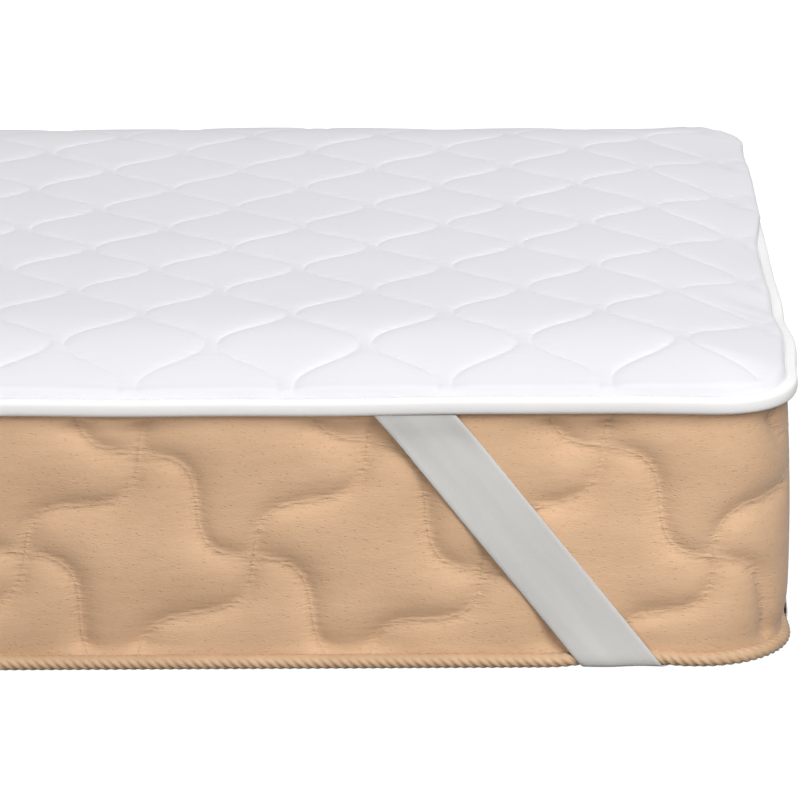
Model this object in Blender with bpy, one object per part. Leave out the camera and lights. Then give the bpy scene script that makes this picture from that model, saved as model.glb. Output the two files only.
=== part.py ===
"""A quilted mattress topper with four corner straps, lying on a plain single mattress.

Metres, +Z up. X runs along the length, the front is -Y, and the underside of the mattress is z = 0.
"""

import math

import bmesh
import bpy

# The mattress: a single one, with soft upright sides and a crowned top.
MATTRESS_LENGTH = 2.000
MATTRESS_WIDTH = 0.900
MATTRESS_BEND = 0.068  # radius of its upright corners
PIECE_GAP = 0.0003  # between pieces that touch

# The topper lies on it and overhangs it a little all round.
OVERHANG = 0.010
TOPPER_LENGTH = MATTRESS_LENGTH + 2 * OVERHANG
TOPPER_WIDTH = MATTRESS_WIDTH + 2 * OVERHANG
TOPPER_BEND = 0.074
SEAM_HEIGHT = 0.2460  # its quilting seams, in the middle of the bed
RIM_DROP = 0.0243  # how far the seams fall from there to the rim
RIM_REACH = 0.155  # and over what distance from the rim
PAD_THICKNESS = 0.0120  # at a seam

# Onion quilting: pairs of wavy seams that nearly meet at necks and part round the puffs.
ONION_WIDTH = 0.1233  # repeat along X
ONION_LENGTH = 0.1447  # repeat along Y
NECK_GAP = 0.009
NECK_X = 0.8555  # one neck
NECK_Y = -0.4395
PUFF = 0.0045  # how far the middle of a puff stands over its seams
PUFF_FULLNESS = 0.7
ROWS_A_REPEAT = 6

# The folded tape that binds the rim: places across it are (in from the rim, up from its middle).
TAPE_MIDDLE = 0.2153
TAPE_OUTSIDE = ((0.0100, 0.00625), (0.0060, 0.00625), (0.0022, 0.0052), (0.0005, 0.0029), (0.0, 0.0))
TAPE_INSIDE = ((0.0100, 0.00505), (0.0043, 0.00505), (0.0020, 0.0034), (0.0012, 0.0))
PAD_EDGE = ((0.0045, 0.00475), (0.0024, 0.0032), (0.0015, 0.0))
PAD_LIP = 0.0105  # where the pad comes out from under the tape
PAD_HEEL = 0.0120  # the same, on its underside
SWELL = 0.0065  # the pad rises steeply over this distance behind the tape
RIM_STEPS = (90.0, 67.5, 45.0, 22.5)  # degrees round a corner at which rows of points end
SEAM_CLEARANCE = 0.006  # a seam this near the rim's own points joins them
UNDERSIDE_RINGS = (0.025, 0.045, 0.075, 0.110, 0.155)  # in from the rim

# The mattress's side, from the edge cord up to the rounded shoulder under the topper.
SIDE_HEIGHTS = (0.015, 0.034, 0.061, 0.088, 0.116, 0.144, 0.172, 0.190, 0.200)
SIDE_SEWN_IN = 0.002  # the side draws in by this much where the cord is sewn on
SIDE_SEAM_DEPTH = 0.005
SHOULDER = ((0.0012, 0.2040), (0.0040, 0.2073), (0.0090, 0.2098))  # (in from the side, height)
CORD_REBATE = ((0.0088, 0.0146), (0.0088, 0.0030), (0.0120, 0.0))
SIDE_REPEATS = 31  # of the curved diamonds quilted round the side
SIDE_DIAMOND_HEIGHT = 0.176
SIDE_NODE_X = 0.7644  # one crossing of the side's seams, on the front
SIDE_NODE_Z = 0.088
SIDE_CURL = 0.127  # how far its seams swing, in repeats

# The edge cord round the foot of the mattress.
CORD_RADIUS = 0.006
CORD_INSET = 0.0025
CORD_HEIGHT = 0.008
CORD_SIDES = 8

# Elastic straps, sewn under the rim and stretched round each lower corner.
STRAP_WIDTH = 0.050
STRAP_THICKNESS = 0.001
STRAP_HEM_FROM_CORNER = 0.290
STRAP_FOOT_FROM_CORNER = 0.133
# Its line down a side: (out from the side, height).
STRAP_LINE = (
    (0.0052, 0.2084),
    (0.0044, 0.2010),
    (0.0010, 0.1860),
    (0.0008, 0.1500),
    (0.0008, 0.0320),
    (0.0041, 0.0150),
    (0.0046, 0.0085),
    (0.0040, 0.0036),
    (0.0015, 0.0008),
    (-0.0050, 0.0008),
)
STRAP_UNDER_STEPS = 6
RECESS_HEIGHT = 0.0018  # the underside yields to the straps by this much
RECESS_REACH = 0.188  # sum of the distances from both sides, at the recess's edge
RECESS_RAMP = 0.012
CUTTER_MARGIN = 0.05  # the cutters reach past the mattress by this much

# (side along X, side along Y, name) of each corner.
CORNERS = ((1, -1, "front_right"), (-1, -1, "front_left"), (1, 1, "back_right"), (-1, 1, "back_left"))

# How finely round things are stepped.
CORNER_STEPS = 8
SIDE_KEYS = (3, 4)  # stretches kept on the short and the long sides
FINE_STEPS = (21, 52)  # and for the quilted side, multiples of those
LEAST_BEND = 0.030  # radius of the innermost rings' corners
SHARP_ANGLE = math.radians(40)
TOUCHING = 1e-9


def clear_scene():
    for obj in list(bpy.data.objects):
        bpy.data.objects.remove(obj, do_unlink=True)


def material(name, colour, roughness):
    made = bpy.data.materials.new(name)
    made.use_nodes = True
    shader = made.node_tree.nodes["Principled BSDF"]
    shader.inputs["Base Color"].default_value = (*colour, 1.0)
    shader.inputs["Roughness"].default_value = roughness
    shader.inputs["Metallic"].default_value = 0.0
    return made


def add_object(name, bm, finish):
    bmesh.ops.recalc_face_normals(bm, faces=bm.faces)
    mesh = bpy.data.meshes.new(name)
    bm.to_mesh(mesh)
    bm.free()
    mesh.shade_smooth()
    mesh.set_sharp_from_angle(angle=SHARP_ANGLE)
    mesh.materials.append(finish)
    obj = bpy.data.objects.new(name, mesh)
    bpy.context.collection.objects.link(obj)
    return obj


# ---- rounded rectangles and the skins between them


def ring(length, width, bend, inset, side_steps):
    """The points of a rounded rectangle, anticlockwise from the front end of its front right corner."""
    reach_x = length / 2 - inset
    reach_y = width / 2 - inset
    radius = max(bend - inset, LEAST_BEND)
    arcs = []
    for corner in range(4):
        centre_x = (reach_x - radius) * (1 if corner < 2 else -1)
        centre_y = (reach_y - radius) * (1 if corner in (1, 2) else -1)
        turns = [math.radians(90 * (corner - 1 + step / CORNER_STEPS)) for step in range(CORNER_STEPS + 1)]
        arcs.append([(centre_x + radius * math.cos(t), centre_y + radius * math.sin(t)) for t in turns])
    points = []
    for corner in range(4):
        points += arcs[corner]
        start, end = arcs[corner][-1], arcs[(corner + 1) % 4][0]
        steps = side_steps[corner % 2]
        for step in range(1, steps):
            share = step / steps
            points.append((start[0] + share * (end[0] - start[0]), start[1] + share * (end[1] - start[1])))
    return points


def key_places():
    """Where a fine ring's points carry on in a coarse one."""
    places = []
    at = 0
    for corner in range(4):
        places += range(at, at + CORNER_STEPS + 1)
        fine, kept = FINE_STEPS[corner % 2], SIDE_KEYS[corner % 2]
        places += [at + CORNER_STEPS + step * fine // kept for step in range(1, kept)]
        at += CORNER_STEPS + fine
    return places


def add_ring(bm, points, heights):
    if isinstance(heights, float):
        heights = [heights] * len(points)
    return [bm.verts.new((x, y, z)) for (x, y), z in zip(points, heights)]


def skin(bm, first, second):
    """Triangles between two rings, always split along the same diagonal."""
    count = len(first)
    for i in range(count):
        j = (i + 1) % count
        bm.faces.new((first[i], first[j], second[j]))
        bm.faces.new((first[i], second[j], second[i]))


def skin_rows(bm, rings):
    for first, second in zip(rings, rings[1:]):
        skin(bm, first, second)


def step_down(bm, fine, coarse):
    """One face from each stretch of a fine ring to the coarse ring's."""
    places = key_places()
    for k, start in enumerate(places):
        after = (k + 1) % len(places)
        end = places[after] or len(fine)
        stretch = [fine[i % len(fine)] for i in range(start, end + 1)]
        bm.faces.new(stretch + [coarse[after], coarse[k]])


def lace(bm, first, second):
    """Triangles between two rings with different numbers of points, which start beside each other."""
    at_first = at_second = 0
    while at_first < len(first) or at_second < len(second):
        here, there = first[at_first % len(first)], second[at_second % len(second)]
        next_here = first[(at_first + 1) % len(first)]
        next_there = second[(at_second + 1) % len(second)]
        shorter = (next_here.co - there.co).length < (next_there.co - here.co).length
        if at_second == len(second) or (shorter and at_first < len(first)):
            bm.faces.new((here, next_here, there))
            at_first += 1
        else:
            bm.faces.new((here, next_there, there))
            at_second += 1


# ---- the topper's surface


def rim_distance(x, y, length=TOPPER_LENGTH, width=TOPPER_WIDTH, bend=TOPPER_BEND):
    """How far a place lies inside a rounded rectangle's edge."""
    past_x = abs(x) - (length / 2 - bend)
    past_y = abs(y) - (width / 2 - bend)
    outside = math.hypot(max(past_x, 0.0), max(past_y, 0.0))
    return bend - outside - min(max(past_x, past_y), 0.0)


def seam_surface(x, y):
    """The height that the quilting seams keep, which falls towards the rim."""
    share = max(0.0, 1 - rim_distance(x, y) / RIM_REACH)
    return SEAM_HEIGHT - RIM_DROP * share**2


def seam_lines(y, period):
    """The two wavy seams of one repeat at y."""
    swing = (ONION_WIDTH / 4 - NECK_GAP / 2) * math.cos(2 * math.pi * (y - NECK_Y) / ONION_LENGTH)
    start = NECK_X + period * ONION_WIDTH
    return start + ONION_WIDTH / 4 - swing, start + 3 * ONION_WIDTH / 4 + swing


def puff_height(x, y):
    """How far the quilting stands over its seams: most in the middle of the widest stretch between two."""
    period = math.floor((x - NECK_X) / ONION_WIDTH)
    lines = [line for k in (-1, 0, 1) for line in seam_lines(y, period + k)]
    below = max(line for line in lines if line <= x + TOUCHING)
    above = min(line for line in lines if line > x + TOUCHING)
    across = (x - below) / (above - below)
    room = (above - below) / (ONION_WIDTH - NECK_GAP)
    return PUFF * room**PUFF_FULLNESS * max(0.0, 4 * across * (1 - across)) ** PUFF_FULLNESS


def pad_top(x, y):
    pinned = TAPE_MIDDLE + PAD_EDGE[0][1]
    share = min(1.0, max(0.0, (rim_distance(x, y) - PAD_LIP) / SWELL))
    risen = math.sin(share * math.pi / 2)
    return pinned + risen * (seam_surface(x, y) + puff_height(x, y) - pinned)


def pad_underside(x, y):
    return seam_surface(x, y) - PAD_THICKNESS


def topper_ring(inset, side_steps=SIDE_KEYS):
    return ring(TOPPER_LENGTH, TOPPER_WIDTH, TOPPER_BEND, inset, side_steps)


# ---- the topper's quilted pad


def behind_rim():
    """How far behind the pad's visible edge its closest rows of points lie."""
    return [(TOPPER_BEND - PAD_LIP) * (1 - math.sin(math.radians(turn))) for turn in RIM_STEPS]


def pad_rows():
    """The y of each row of points: in step with the quilting, and closer at the rim's round corners."""
    edge = TOPPER_WIDTH / 2 - PAD_LIP
    bend = TOPPER_BEND - PAD_LIP
    corner_rows = [edge - behind for behind in behind_rim()]
    spacing = ONION_LENGTH / ROWS_A_REPEAT
    first = math.ceil((-edge + bend - NECK_Y) / spacing)
    last = math.floor((edge - bend - NECK_Y) / spacing)
    middle = [NECK_Y + spacing * k for k in range(first, last + 1)]
    return [-y for y in corner_rows] + middle + corner_rows[::-1]


def pad_row_points(y):
    """The x of each point in a row: the edge, two points behind it, and the seams with a ridge between them.

    A seam that would pass those two points is held at the inner one."""
    edge = TOPPER_WIDTH / 2 - PAD_LIP
    bend = TOPPER_BEND - PAD_LIP
    past = max(0.0, abs(y) - (edge - bend))
    reach = TOPPER_LENGTH / 2 - PAD_LIP - bend + math.sqrt(max(0.0, bend**2 - past**2))
    left = [behind - reach for behind in behind_rim()[:3]]
    inner = -left[-1]
    first = math.floor((-TOPPER_LENGTH / 2 - NECK_X) / ONION_WIDTH)
    last = math.ceil((TOPPER_LENGTH / 2 - NECK_X) / ONION_WIDTH)
    lines = [line for period in range(first, last) for line in seam_lines(y, period)]
    columns = []
    for line, following in zip(lines, lines[1:]):
        for x in (line, (line + following) / 2):
            near_edge = abs(x) > inner - SEAM_CLEARANCE
            columns.append(math.copysign(inner, x) if near_edge else x)
    return left + columns + [-x for x in reversed(left)]


def without_repeats(verts):
    return [vert for i, vert in enumerate(verts) if vert not in verts[:i]]


def quilted_top(bm):
    """The quilted surface. It returns the points of its edge, anticlockwise from the front right corner."""
    grid = []
    for y in pad_rows():
        row = []
        for x in pad_row_points(y):
            joins_last = row and x - row[-1].co.x < PIECE_GAP
            row.append(row[-1] if joins_last else bm.verts.new((x, y, pad_top(x, y))))
        grid.append(row)
    for near, far in zip(grid, grid[1:]):
        for i in range(len(near) - 1):
            for corners in ((near[i], near[i + 1], far[i + 1]), (near[i], far[i + 1], far[i])):
                if len(set(corners)) == 3:
                    bm.faces.new(corners)
    right = [row[-1] for row in grid]
    left = [row[0] for row in grid[::-1]]
    back = without_repeats(grid[-1])[::-1]
    front = without_repeats(grid[0])
    return right + back[1:] + left[1:] + front[1:-1]


def topper_pad():
    bm = bmesh.new()
    edge = quilted_top(bm)
    edge_places = [(inset, TAPE_MIDDLE + up) for inset, up in PAD_EDGE]
    edge_places += [(inset, TAPE_MIDDLE - up) for inset, up in PAD_EDGE[-2::-1]]
    edge_places.append((PAD_HEEL, TAPE_MIDDLE - PAD_EDGE[0][1]))
    rings = [add_ring(bm, topper_ring(inset), height) for inset, height in edge_places]
    for inset in UNDERSIDE_RINGS:
        points = topper_ring(inset)
        rings.append(add_ring(bm, points, [pad_underside(x, y) for x, y in points]))
    skin_rows(bm, rings)
    bm.faces.new(rings[-1])
    lace(bm, rings[0], edge)
    return add_object("topper_pad", bm, material("quilted_white_cloth", (0.80, 0.79, 0.82), 0.85))


def topper_binding():
    """A tape folded round the pad's rim: one skin outside, one inside, closed at both lips."""
    places = [(inset, up) for inset, up in TAPE_OUTSIDE]
    places += [(inset, -up) for inset, up in TAPE_OUTSIDE[-2::-1]]
    places += [(inset, -up) for inset, up in TAPE_INSIDE]
    places += [(inset, up) for inset, up in TAPE_INSIDE[-2::-1]]
    bm = bmesh.new()
    rings = [add_ring(bm, topper_ring(inset), TAPE_MIDDLE + up) for inset, up in places]
    skin_rows(bm, rings + rings[:1])
    return add_object("topper_binding", bm, material("white_binding_tape", (0.88, 0.87, 0.87), 0.7))


# ---- the mattress


def side_seam_inset(along, height):
    """How far the quilted side lies inside its outermost plane, at a distance along its edge."""
    half_width = perimeter() / SIDE_REPEATS / 2
    half_height = SIDE_DIAMOND_HEIGHT / 2
    along_steps = along / half_width
    down_steps = (SIDE_NODE_Z - height) / half_height
    u = (along_steps + down_steps) / 2
    v = (down_steps - along_steps) / 2
    first = math.sin(math.pi * (u - SIDE_CURL * math.sin(2 * math.pi * v)))
    second = math.sin(math.pi * (v + SIDE_CURL * math.sin(2 * math.pi * u)))
    return SIDE_SEAM_DEPTH * (1 - math.sqrt(abs(first * second)))


def perimeter():
    straight = 2 * (MATTRESS_LENGTH + MATTRESS_WIDTH) - 8 * MATTRESS_BEND
    return straight + 2 * math.pi * MATTRESS_BEND


def mattress_ring(inset, side_steps=SIDE_KEYS):
    return ring(MATTRESS_LENGTH, MATTRESS_WIDTH, MATTRESS_BEND, inset, side_steps)


def quilted_side_ring(height, drawn_in):
    """The side's outline at a height, with its quilting pressed in."""
    outline = mattress_ring(0.0, FINE_STEPS)
    inner = mattress_ring(SIDE_SEAM_DEPTH, FINE_STEPS)
    front_end = MATTRESS_LENGTH / 2 - MATTRESS_BEND
    along = front_end - SIDE_NODE_X
    points = []
    for i, (x, y) in enumerate(outline):
        if i:
            along += math.dist((x, y), outline[i - 1])
        share = (drawn_in + side_seam_inset(along, height)) / SIDE_SEAM_DEPTH
        points.append((x + share * (inner[i][0] - x), y + share * (inner[i][1] - y)))
    return points


def from_corner(side_x, side_y, place):
    """A place given as (in from the end, in from the long side, up), at one corner of the mattress."""
    in_from_end, in_from_side, height = place
    return side_x * (MATTRESS_LENGTH / 2 - in_from_end), side_y * (MATTRESS_WIDTH / 2 - in_from_side), height


def recess_cutter(name, side_x, side_y):
    """A flat wedge under one lower corner, with a ramp where it ends."""
    out = -CUTTER_MARGIN
    foot = RECESS_REACH + RECESS_RAMP
    bm = bmesh.new()
    loops = []
    for height, reach in ((out, foot), (0.0, foot), (RECESS_HEIGHT, RECESS_REACH)):
        places = ((out, out), (reach - out, out), (out, reach - out))
        loops.append([bm.verts.new(from_corner(side_x, side_y, (a, b, height))) for a, b in places])
    skin_rows(bm, loops)
    bm.faces.new(loops[0])
    bm.faces.new(loops[-1])
    cutter = add_object(name, bm, None)
    cutter.hide_render = True
    cutter.display_type = "WIRE"
    return cutter


def mattress_body():
    bm = bmesh.new()
    side = []
    for height in SIDE_HEIGHTS:
        drawn_in = SIDE_SEWN_IN if height == SIDE_HEIGHTS[0] else 0.0
        side.append(add_ring(bm, quilted_side_ring(height, drawn_in), height))
    skin_rows(bm, side)
    rebate = [add_ring(bm, mattress_ring(inset), height) for inset, height in CORD_REBATE]
    skin_rows(bm, rebate)
    step_down(bm, side[0], rebate[0])
    bm.faces.new(rebate[-1])
    top = [add_ring(bm, mattress_ring(inset), height) for inset, height in SHOULDER]
    for inset in UNDERSIDE_RINGS:
        points = topper_ring(inset)
        top.append(add_ring(bm, points, [pad_underside(x, y) - PIECE_GAP for x, y in points]))
    skin_rows(bm, top)
    step_down(bm, side[-1], top[0])
    bm.faces.new(top[-1])
    body = add_object("mattress_body", bm, material("tan_mattress_cloth", (0.62, 0.41, 0.25), 0.8))
    for side_x, side_y, corner in CORNERS:
        cut = body.modifiers.new(f"strap_recess_{corner}", "BOOLEAN")
        cut.operation = "DIFFERENCE"
        cut.solver = "EXACT"
        cut.object = recess_cutter(f"recess_cutter_{corner}", side_x, side_y)
    return body


def mattress_edge_cord():
    bm = bmesh.new()
    rings = []
    for side in range(CORD_SIDES):
        turn = 2 * math.pi * side / CORD_SIDES
        inset = CORD_INSET - CORD_RADIUS * math.cos(turn)
        rings.append(add_ring(bm, mattress_ring(inset), CORD_HEIGHT + CORD_RADIUS * math.sin(turn)))
    skin_rows(bm, rings + rings[:1])
    return add_object("mattress_edge_cord", bm, material("tan_edge_cord", (0.68, 0.46, 0.28), 0.6))


# ---- the corner straps

def strap_side_stations():
    """The strap down one side, and how far it leans: (centre, ruling, normal) at each step.

    Each is (in from the end, in from the side, up). The strap bends only about lines along the
    mattress's edge, so its rulings, the straight lines across it, lie along that edge."""
    runs = [math.dist(a, b) for a, b in zip(STRAP_LINE, STRAP_LINE[1:])]
    lean = (STRAP_HEM_FROM_CORNER - STRAP_FOOT_FROM_CORNER) / (sum(runs) - runs[-1])
    half_ruling = STRAP_WIDTH / 2 * math.hypot(1, lean)
    stations = []
    run = 0.0
    for i, (out, height) in enumerate(STRAP_LINE):
        before, after = STRAP_LINE[max(i - 1, 0)], STRAP_LINE[min(i + 1, len(STRAP_LINE) - 1)]
        down_out, down_up = after[0] - before[0], after[1] - before[1]
        size = math.hypot(down_out, down_up)
        centre = (STRAP_HEM_FROM_CORNER - lean * run, -out, height)
        normal = (0.0, down_up / size, down_out / size)
        stations.append((centre, (half_ruling, 0.0, 0.0), normal))
        run += runs[i] if i < len(runs) else 0.0
    return stations, lean


def strap_under_stations(start, lean):
    """The gentle curve under the corner, over which the rulings turn from one edge's line to the other's."""
    from_end, from_side, height = start
    across = math.atan(lean)
    pull = (from_end - from_side) / (math.sin(across) + math.cos(across))
    middle = (from_end - pull * math.sin(across), from_side + pull * math.cos(across))
    stations = []
    for step in range(1, STRAP_UNDER_STEPS):
        t = step / STRAP_UNDER_STEPS
        weights = ((1 - t) ** 2, 2 * t * (1 - t), t**2)
        a = weights[0] * from_end + weights[1] * middle[0] + weights[2] * from_side
        b = weights[0] * from_side + weights[1] * middle[1] + weights[2] * from_end
        heading = across + t * (math.pi / 2 - 2 * across)
        turn = math.pi / 2 * t
        half = STRAP_WIDTH / 2 / math.cos(turn - heading)
        ruling = (half * math.cos(turn), half * math.sin(turn), 0.0)
        stations.append(((a, b, height), ruling, (0.0, 0.0, -1.0)))
    return stations


def swapped(vector):
    return vector[1], vector[0], vector[2]


def corner_strap(side_x, side_y, corner, finish):
    down, lean = strap_side_stations()
    up = [tuple(swapped(vector) for vector in station) for station in reversed(down)]
    stations = down + strap_under_stations(down[-1][0], lean) + up
    bm = bmesh.new()
    sections = []
    for centre, ruling, normal in stations:
        section = []
        for along, out in ((-1, -1), (1, -1), (1, 1), (-1, 1)):
            lift = out * STRAP_THICKNESS / 2
            place = [c + along * r + lift * n for c, r, n in zip(centre, ruling, normal)]
            section.append(bm.verts.new(from_corner(side_x, side_y, place)))
        sections.append(section)
    skin_rows(bm, sections)
    bm.faces.new(sections[0])
    bm.faces.new(sections[-1])
    return add_object(f"corner_strap_{corner}", bm, finish)


def main():
    clear_scene()
    mattress_body()
    mattress_edge_cord()
    topper_pad()
    topper_binding()
    elastic = material("grey_elastic", (0.56, 0.54, 0.51), 0.65)
    for side_x, side_y, corner in CORNERS:
        corner_strap(side_x, side_y, corner, elastic)


main()
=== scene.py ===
# %% [markdown]
# # A quilted mattress topper on its mattress
#
# A topper is a thin quilted pad that lies on a bed to soften it. This one is bound round its
# rim with a folded tape, and an elastic strap at each corner goes under the mattress to hold
# it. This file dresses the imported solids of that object: it makes each piece again with the
# shape and finish of cloth, in the same place and size. Read it cell by cell. Lengths are in
# metres, +Z is up, X runs along the bed, and the front of the bed is at -Y.

import math

import bmesh
import bpy
import numpy as np
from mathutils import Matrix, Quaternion, Vector


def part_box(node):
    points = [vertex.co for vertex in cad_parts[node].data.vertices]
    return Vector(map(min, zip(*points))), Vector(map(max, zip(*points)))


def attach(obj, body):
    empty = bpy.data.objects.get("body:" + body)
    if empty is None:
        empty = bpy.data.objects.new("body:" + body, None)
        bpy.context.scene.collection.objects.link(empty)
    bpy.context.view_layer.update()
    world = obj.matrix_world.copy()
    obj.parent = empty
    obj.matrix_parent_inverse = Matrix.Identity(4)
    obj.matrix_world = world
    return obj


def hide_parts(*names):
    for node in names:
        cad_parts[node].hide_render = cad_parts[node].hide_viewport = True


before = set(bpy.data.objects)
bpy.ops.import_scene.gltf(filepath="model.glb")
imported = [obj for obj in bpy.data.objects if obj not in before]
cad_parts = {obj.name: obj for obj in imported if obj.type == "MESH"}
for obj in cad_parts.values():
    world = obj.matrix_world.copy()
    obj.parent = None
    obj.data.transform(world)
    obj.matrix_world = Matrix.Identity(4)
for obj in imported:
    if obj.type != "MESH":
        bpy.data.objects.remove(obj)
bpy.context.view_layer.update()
print("solids:", sorted(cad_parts))

# %% [markdown]
# ## Sizes
#
# The tape goes all round the rim, so the box of its solid is the topper's length and width.
# The topper hangs over the mattress by the same small amount on every side. The bends are the
# radii of the round corners, seen from above.

# %% Sizes of the bed
tape_low, tape_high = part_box("topper_binding")
TOPPER_LENGTH = tape_high.x - tape_low.x
TOPPER_WIDTH = tape_high.y - tape_low.y
TOPPER_BEND = 0.074
OVERHANG = 0.010
MATTRESS_LENGTH = TOPPER_LENGTH - 2 * OVERHANG
MATTRESS_WIDTH = TOPPER_WIDTH - 2 * OVERHANG
MATTRESS_BEND = 0.068
TAPE_MIDDLE = (tape_low.z + tape_high.z) / 2
print(f"topper {TOPPER_LENGTH:.3f} by {TOPPER_WIDTH:.3f}, its rim at a height of {TAPE_MIDDLE:.4f}")

# %% [markdown]
# ## Round the rim
#
# Tape, side, cord and seams all follow the same kind of path: a rectangle with round corners.
# One function makes it as an array of places, with the outward direction at each. A place
# moved inwards by a depth stays beside its neighbours, so such rings can be joined by faces.

# %% Rounded rectangles
CORNER_SIDES = np.array([(1, -1), (1, 1), (-1, 1), (-1, -1)])


def outline(length, width, bend, spacing):
    """Places and outward directions, anticlockwise from the back left corner, out of sight."""
    places, outward = [], []
    for k in (2, 3, 0, 1):
        centre = CORNER_SIDES[k] * (np.array([length, width]) / 2 - bend)
        arc_steps = round(bend * math.pi / 2 / spacing)
        turns = math.pi / 2 * (k - 1 + np.arange(arc_steps) / arc_steps)
        around = np.stack([np.cos(turns), np.sin(turns)], axis=1)
        facing = np.array([math.cos(math.pi / 2 * k), math.sin(math.pi / 2 * k)])
        heading = np.array([-facing[1], facing[0]])
        run = (width, length)[k % 2] - 2 * bend
        run_steps = round(run / spacing)
        walked = run * np.arange(run_steps)[:, None] / run_steps
        places += [centre + bend * around, centre + bend * facing + walked * heading]
        outward += [around, np.repeat(facing[None], run_steps, axis=0)]
    return np.concatenate(places), np.concatenate(outward)


def walked_along(places):
    """The distance along a closed path at each of its places, and its whole length."""
    steps = np.linalg.norm(np.roll(places, -1, axis=0) - places, axis=1)
    return np.concatenate([[0.0], np.cumsum(steps)[:-1]]), steps.sum()


def raised(places, heights):
    """Flat places with a height added."""
    return np.column_stack([places, np.broadcast_to(heights, len(places))])


def rim_distance(x, y):
    """How far a place lies inside the topper's rim."""
    past_x = np.abs(x) - (TOPPER_LENGTH / 2 - TOPPER_BEND)
    past_y = np.abs(y) - (TOPPER_WIDTH / 2 - TOPPER_BEND)
    outside = np.hypot(np.maximum(past_x, 0), np.maximum(past_y, 0))
    return TOPPER_BEND - outside - np.minimum(np.maximum(past_x, past_y), 0)


rim_places, rim_outward = outline(TOPPER_LENGTH, TOPPER_WIDTH, TOPPER_BEND, spacing=0.008)
print(f"the rim is {walked_along(rim_places)[1]:.2f} m long")

# %% [markdown]
# ## Nothing sewn is quite even
#
# Cloth that was stitched by machine and laid on a bed is never level or straight. A few sine
# waves in different directions, with phases from a fixed seed, add up to a smooth uneven field
# that is the same on each run. The same field moves everything at a place, so that pieces that
# touch stay together.

# %% Unevenness
WAVES_IN_A_RIPPLE = 7
SLOWEST, FASTEST = 0.7, 1.4  # the paces of the waves, as shares of an even one


def ripple(x, y, size, seed):
    """A smooth field, mostly between -1 and 1, with lumps about as far apart as size."""
    draw = np.random.default_rng(seed)
    total = 0.0
    for _ in range(WAVES_IN_A_RIPPLE):
        turn, phase = draw.uniform(0, 2 * math.pi, 2)
        pace = draw.uniform(SLOWEST, FASTEST) * math.pi / size
        total = total + np.sin(pace * (x * math.cos(turn) + y * math.sin(turn)) + phase)
    return total / math.sqrt(WAVES_IN_A_RIPPLE)


print("ripple at the middle:", round(float(ripple(0.0, 0.0, 0.1, seed=1)), 3))

# %% [markdown]
# ## Meshes from rings
#
# Most of the pieces here are skins stretched between rings of points. This helper takes the
# rings as one array, joins each to the next with four-sided faces, and can close the first and
# the last with one face each. The UV map holds metres on the cloth, not shares of a picture,
# so a weave has the same scale on every piece.

# %% Mesh helpers
TOUCHING = 2e-5


def face_map(mesh, name, values):
    """Writes a UV map from one pair of values for each corner of each face."""
    layer = mesh.uv_layers.new(name=name)
    layer.data.foreach_set("uv", values.astype(np.float32).ravel())


def corners_of(mesh):
    """The point of each corner of each face."""
    points = np.zeros(len(mesh.loops), dtype=np.int32)
    mesh.loops.foreach_get("vertex_index", points)
    return points


def past_the_join(mesh, run, whole_run):
    """The face corners where a closed path has come round to its start, but its face has not."""
    starts = np.zeros(len(mesh.polygons), dtype=np.int32)
    totals = np.zeros(len(mesh.polygons), dtype=np.int32)
    mesh.polygons.foreach_get("loop_start", starts)
    mesh.polygons.foreach_get("loop_total", totals)
    here = run[corners_of(mesh)]
    furthest = np.repeat(np.maximum.reduceat(here, starts), totals)
    return furthest - here > whole_run / 2


def cloth_map(mesh, run, across, whole_run=0.0):
    """A UV map in metres. Where a closed path comes round to its start, the map carries on."""
    uv = np.column_stack([run, across])[corners_of(mesh)]
    if whole_run:
        uv[:, 0] += whole_run * past_the_join(mesh, run, whole_run)
    face_map(mesh, "cloth", uv)


def add_piece(name, points, faces, finish):
    """A smooth shaded object at the origin, with its place in its mesh."""
    mesh = bpy.data.meshes.new(name)
    mesh.from_pydata(points, [], faces)
    mesh.shade_smooth()
    mesh.materials.append(finish)
    piece = bpy.data.objects.new(name, mesh)
    bpy.context.scene.collection.objects.link(piece)
    return piece


def ring_faces(rings, points, closed_path=True):
    """Faces between rows of a grid of points, listed ring by ring."""
    last = points if closed_path else points - 1
    i, k = np.meshgrid(np.arange(rings - 1), np.arange(last), indexing="ij")
    after = (k + 1) % points
    corners = (i * points + k, i * points + after, (i + 1) * points + after, (i + 1) * points + k)
    return np.stack(corners, axis=-1).reshape(-1, 4)


def tidy_mesh(mesh):
    """Merges points that fall together and turns every face outwards."""
    bm = bmesh.new()
    bm.from_mesh(mesh)
    bmesh.ops.remove_doubles(bm, verts=bm.verts, dist=TOUCHING)
    bmesh.ops.recalc_face_normals(bm, faces=bm.faces)
    bm.to_mesh(mesh)
    bm.free()


def report(piece):
    piece.data.calc_loop_triangles()
    print(f"{piece.name}: {len(piece.data.loop_triangles)} triangles")


# %% [markdown]
# ## Wiring nodes
#
# Shader groups and Geometry Nodes trees are both made of nodes and links. Written out in full
# they take many lines, so one helper adds a node, sets it, and wires its inputs. An input is
# given by its name or its number, as a value or as another node's output.

# %% Node helpers
NODE_SPACING = 180


def add_node(tree, kind, inputs=None, **settings):
    node = tree.nodes.new(kind)
    node.location = (NODE_SPACING * len(tree.nodes), 0)
    for name, value in settings.items():
        setattr(node, name, value)
    for key, value in (inputs or {}).items():
        if isinstance(value, bpy.types.NodeSocket):
            tree.links.new(value, node.inputs[key])
        else:
            node.inputs[key].default_value = value
    return node


def maths(tree, operation, *values):
    """The result of one sum, for shader and geometry trees alike."""
    node = add_node(tree, "ShaderNodeMath", dict(enumerate(values)), operation=operation)
    return node.outputs[0]


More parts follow.
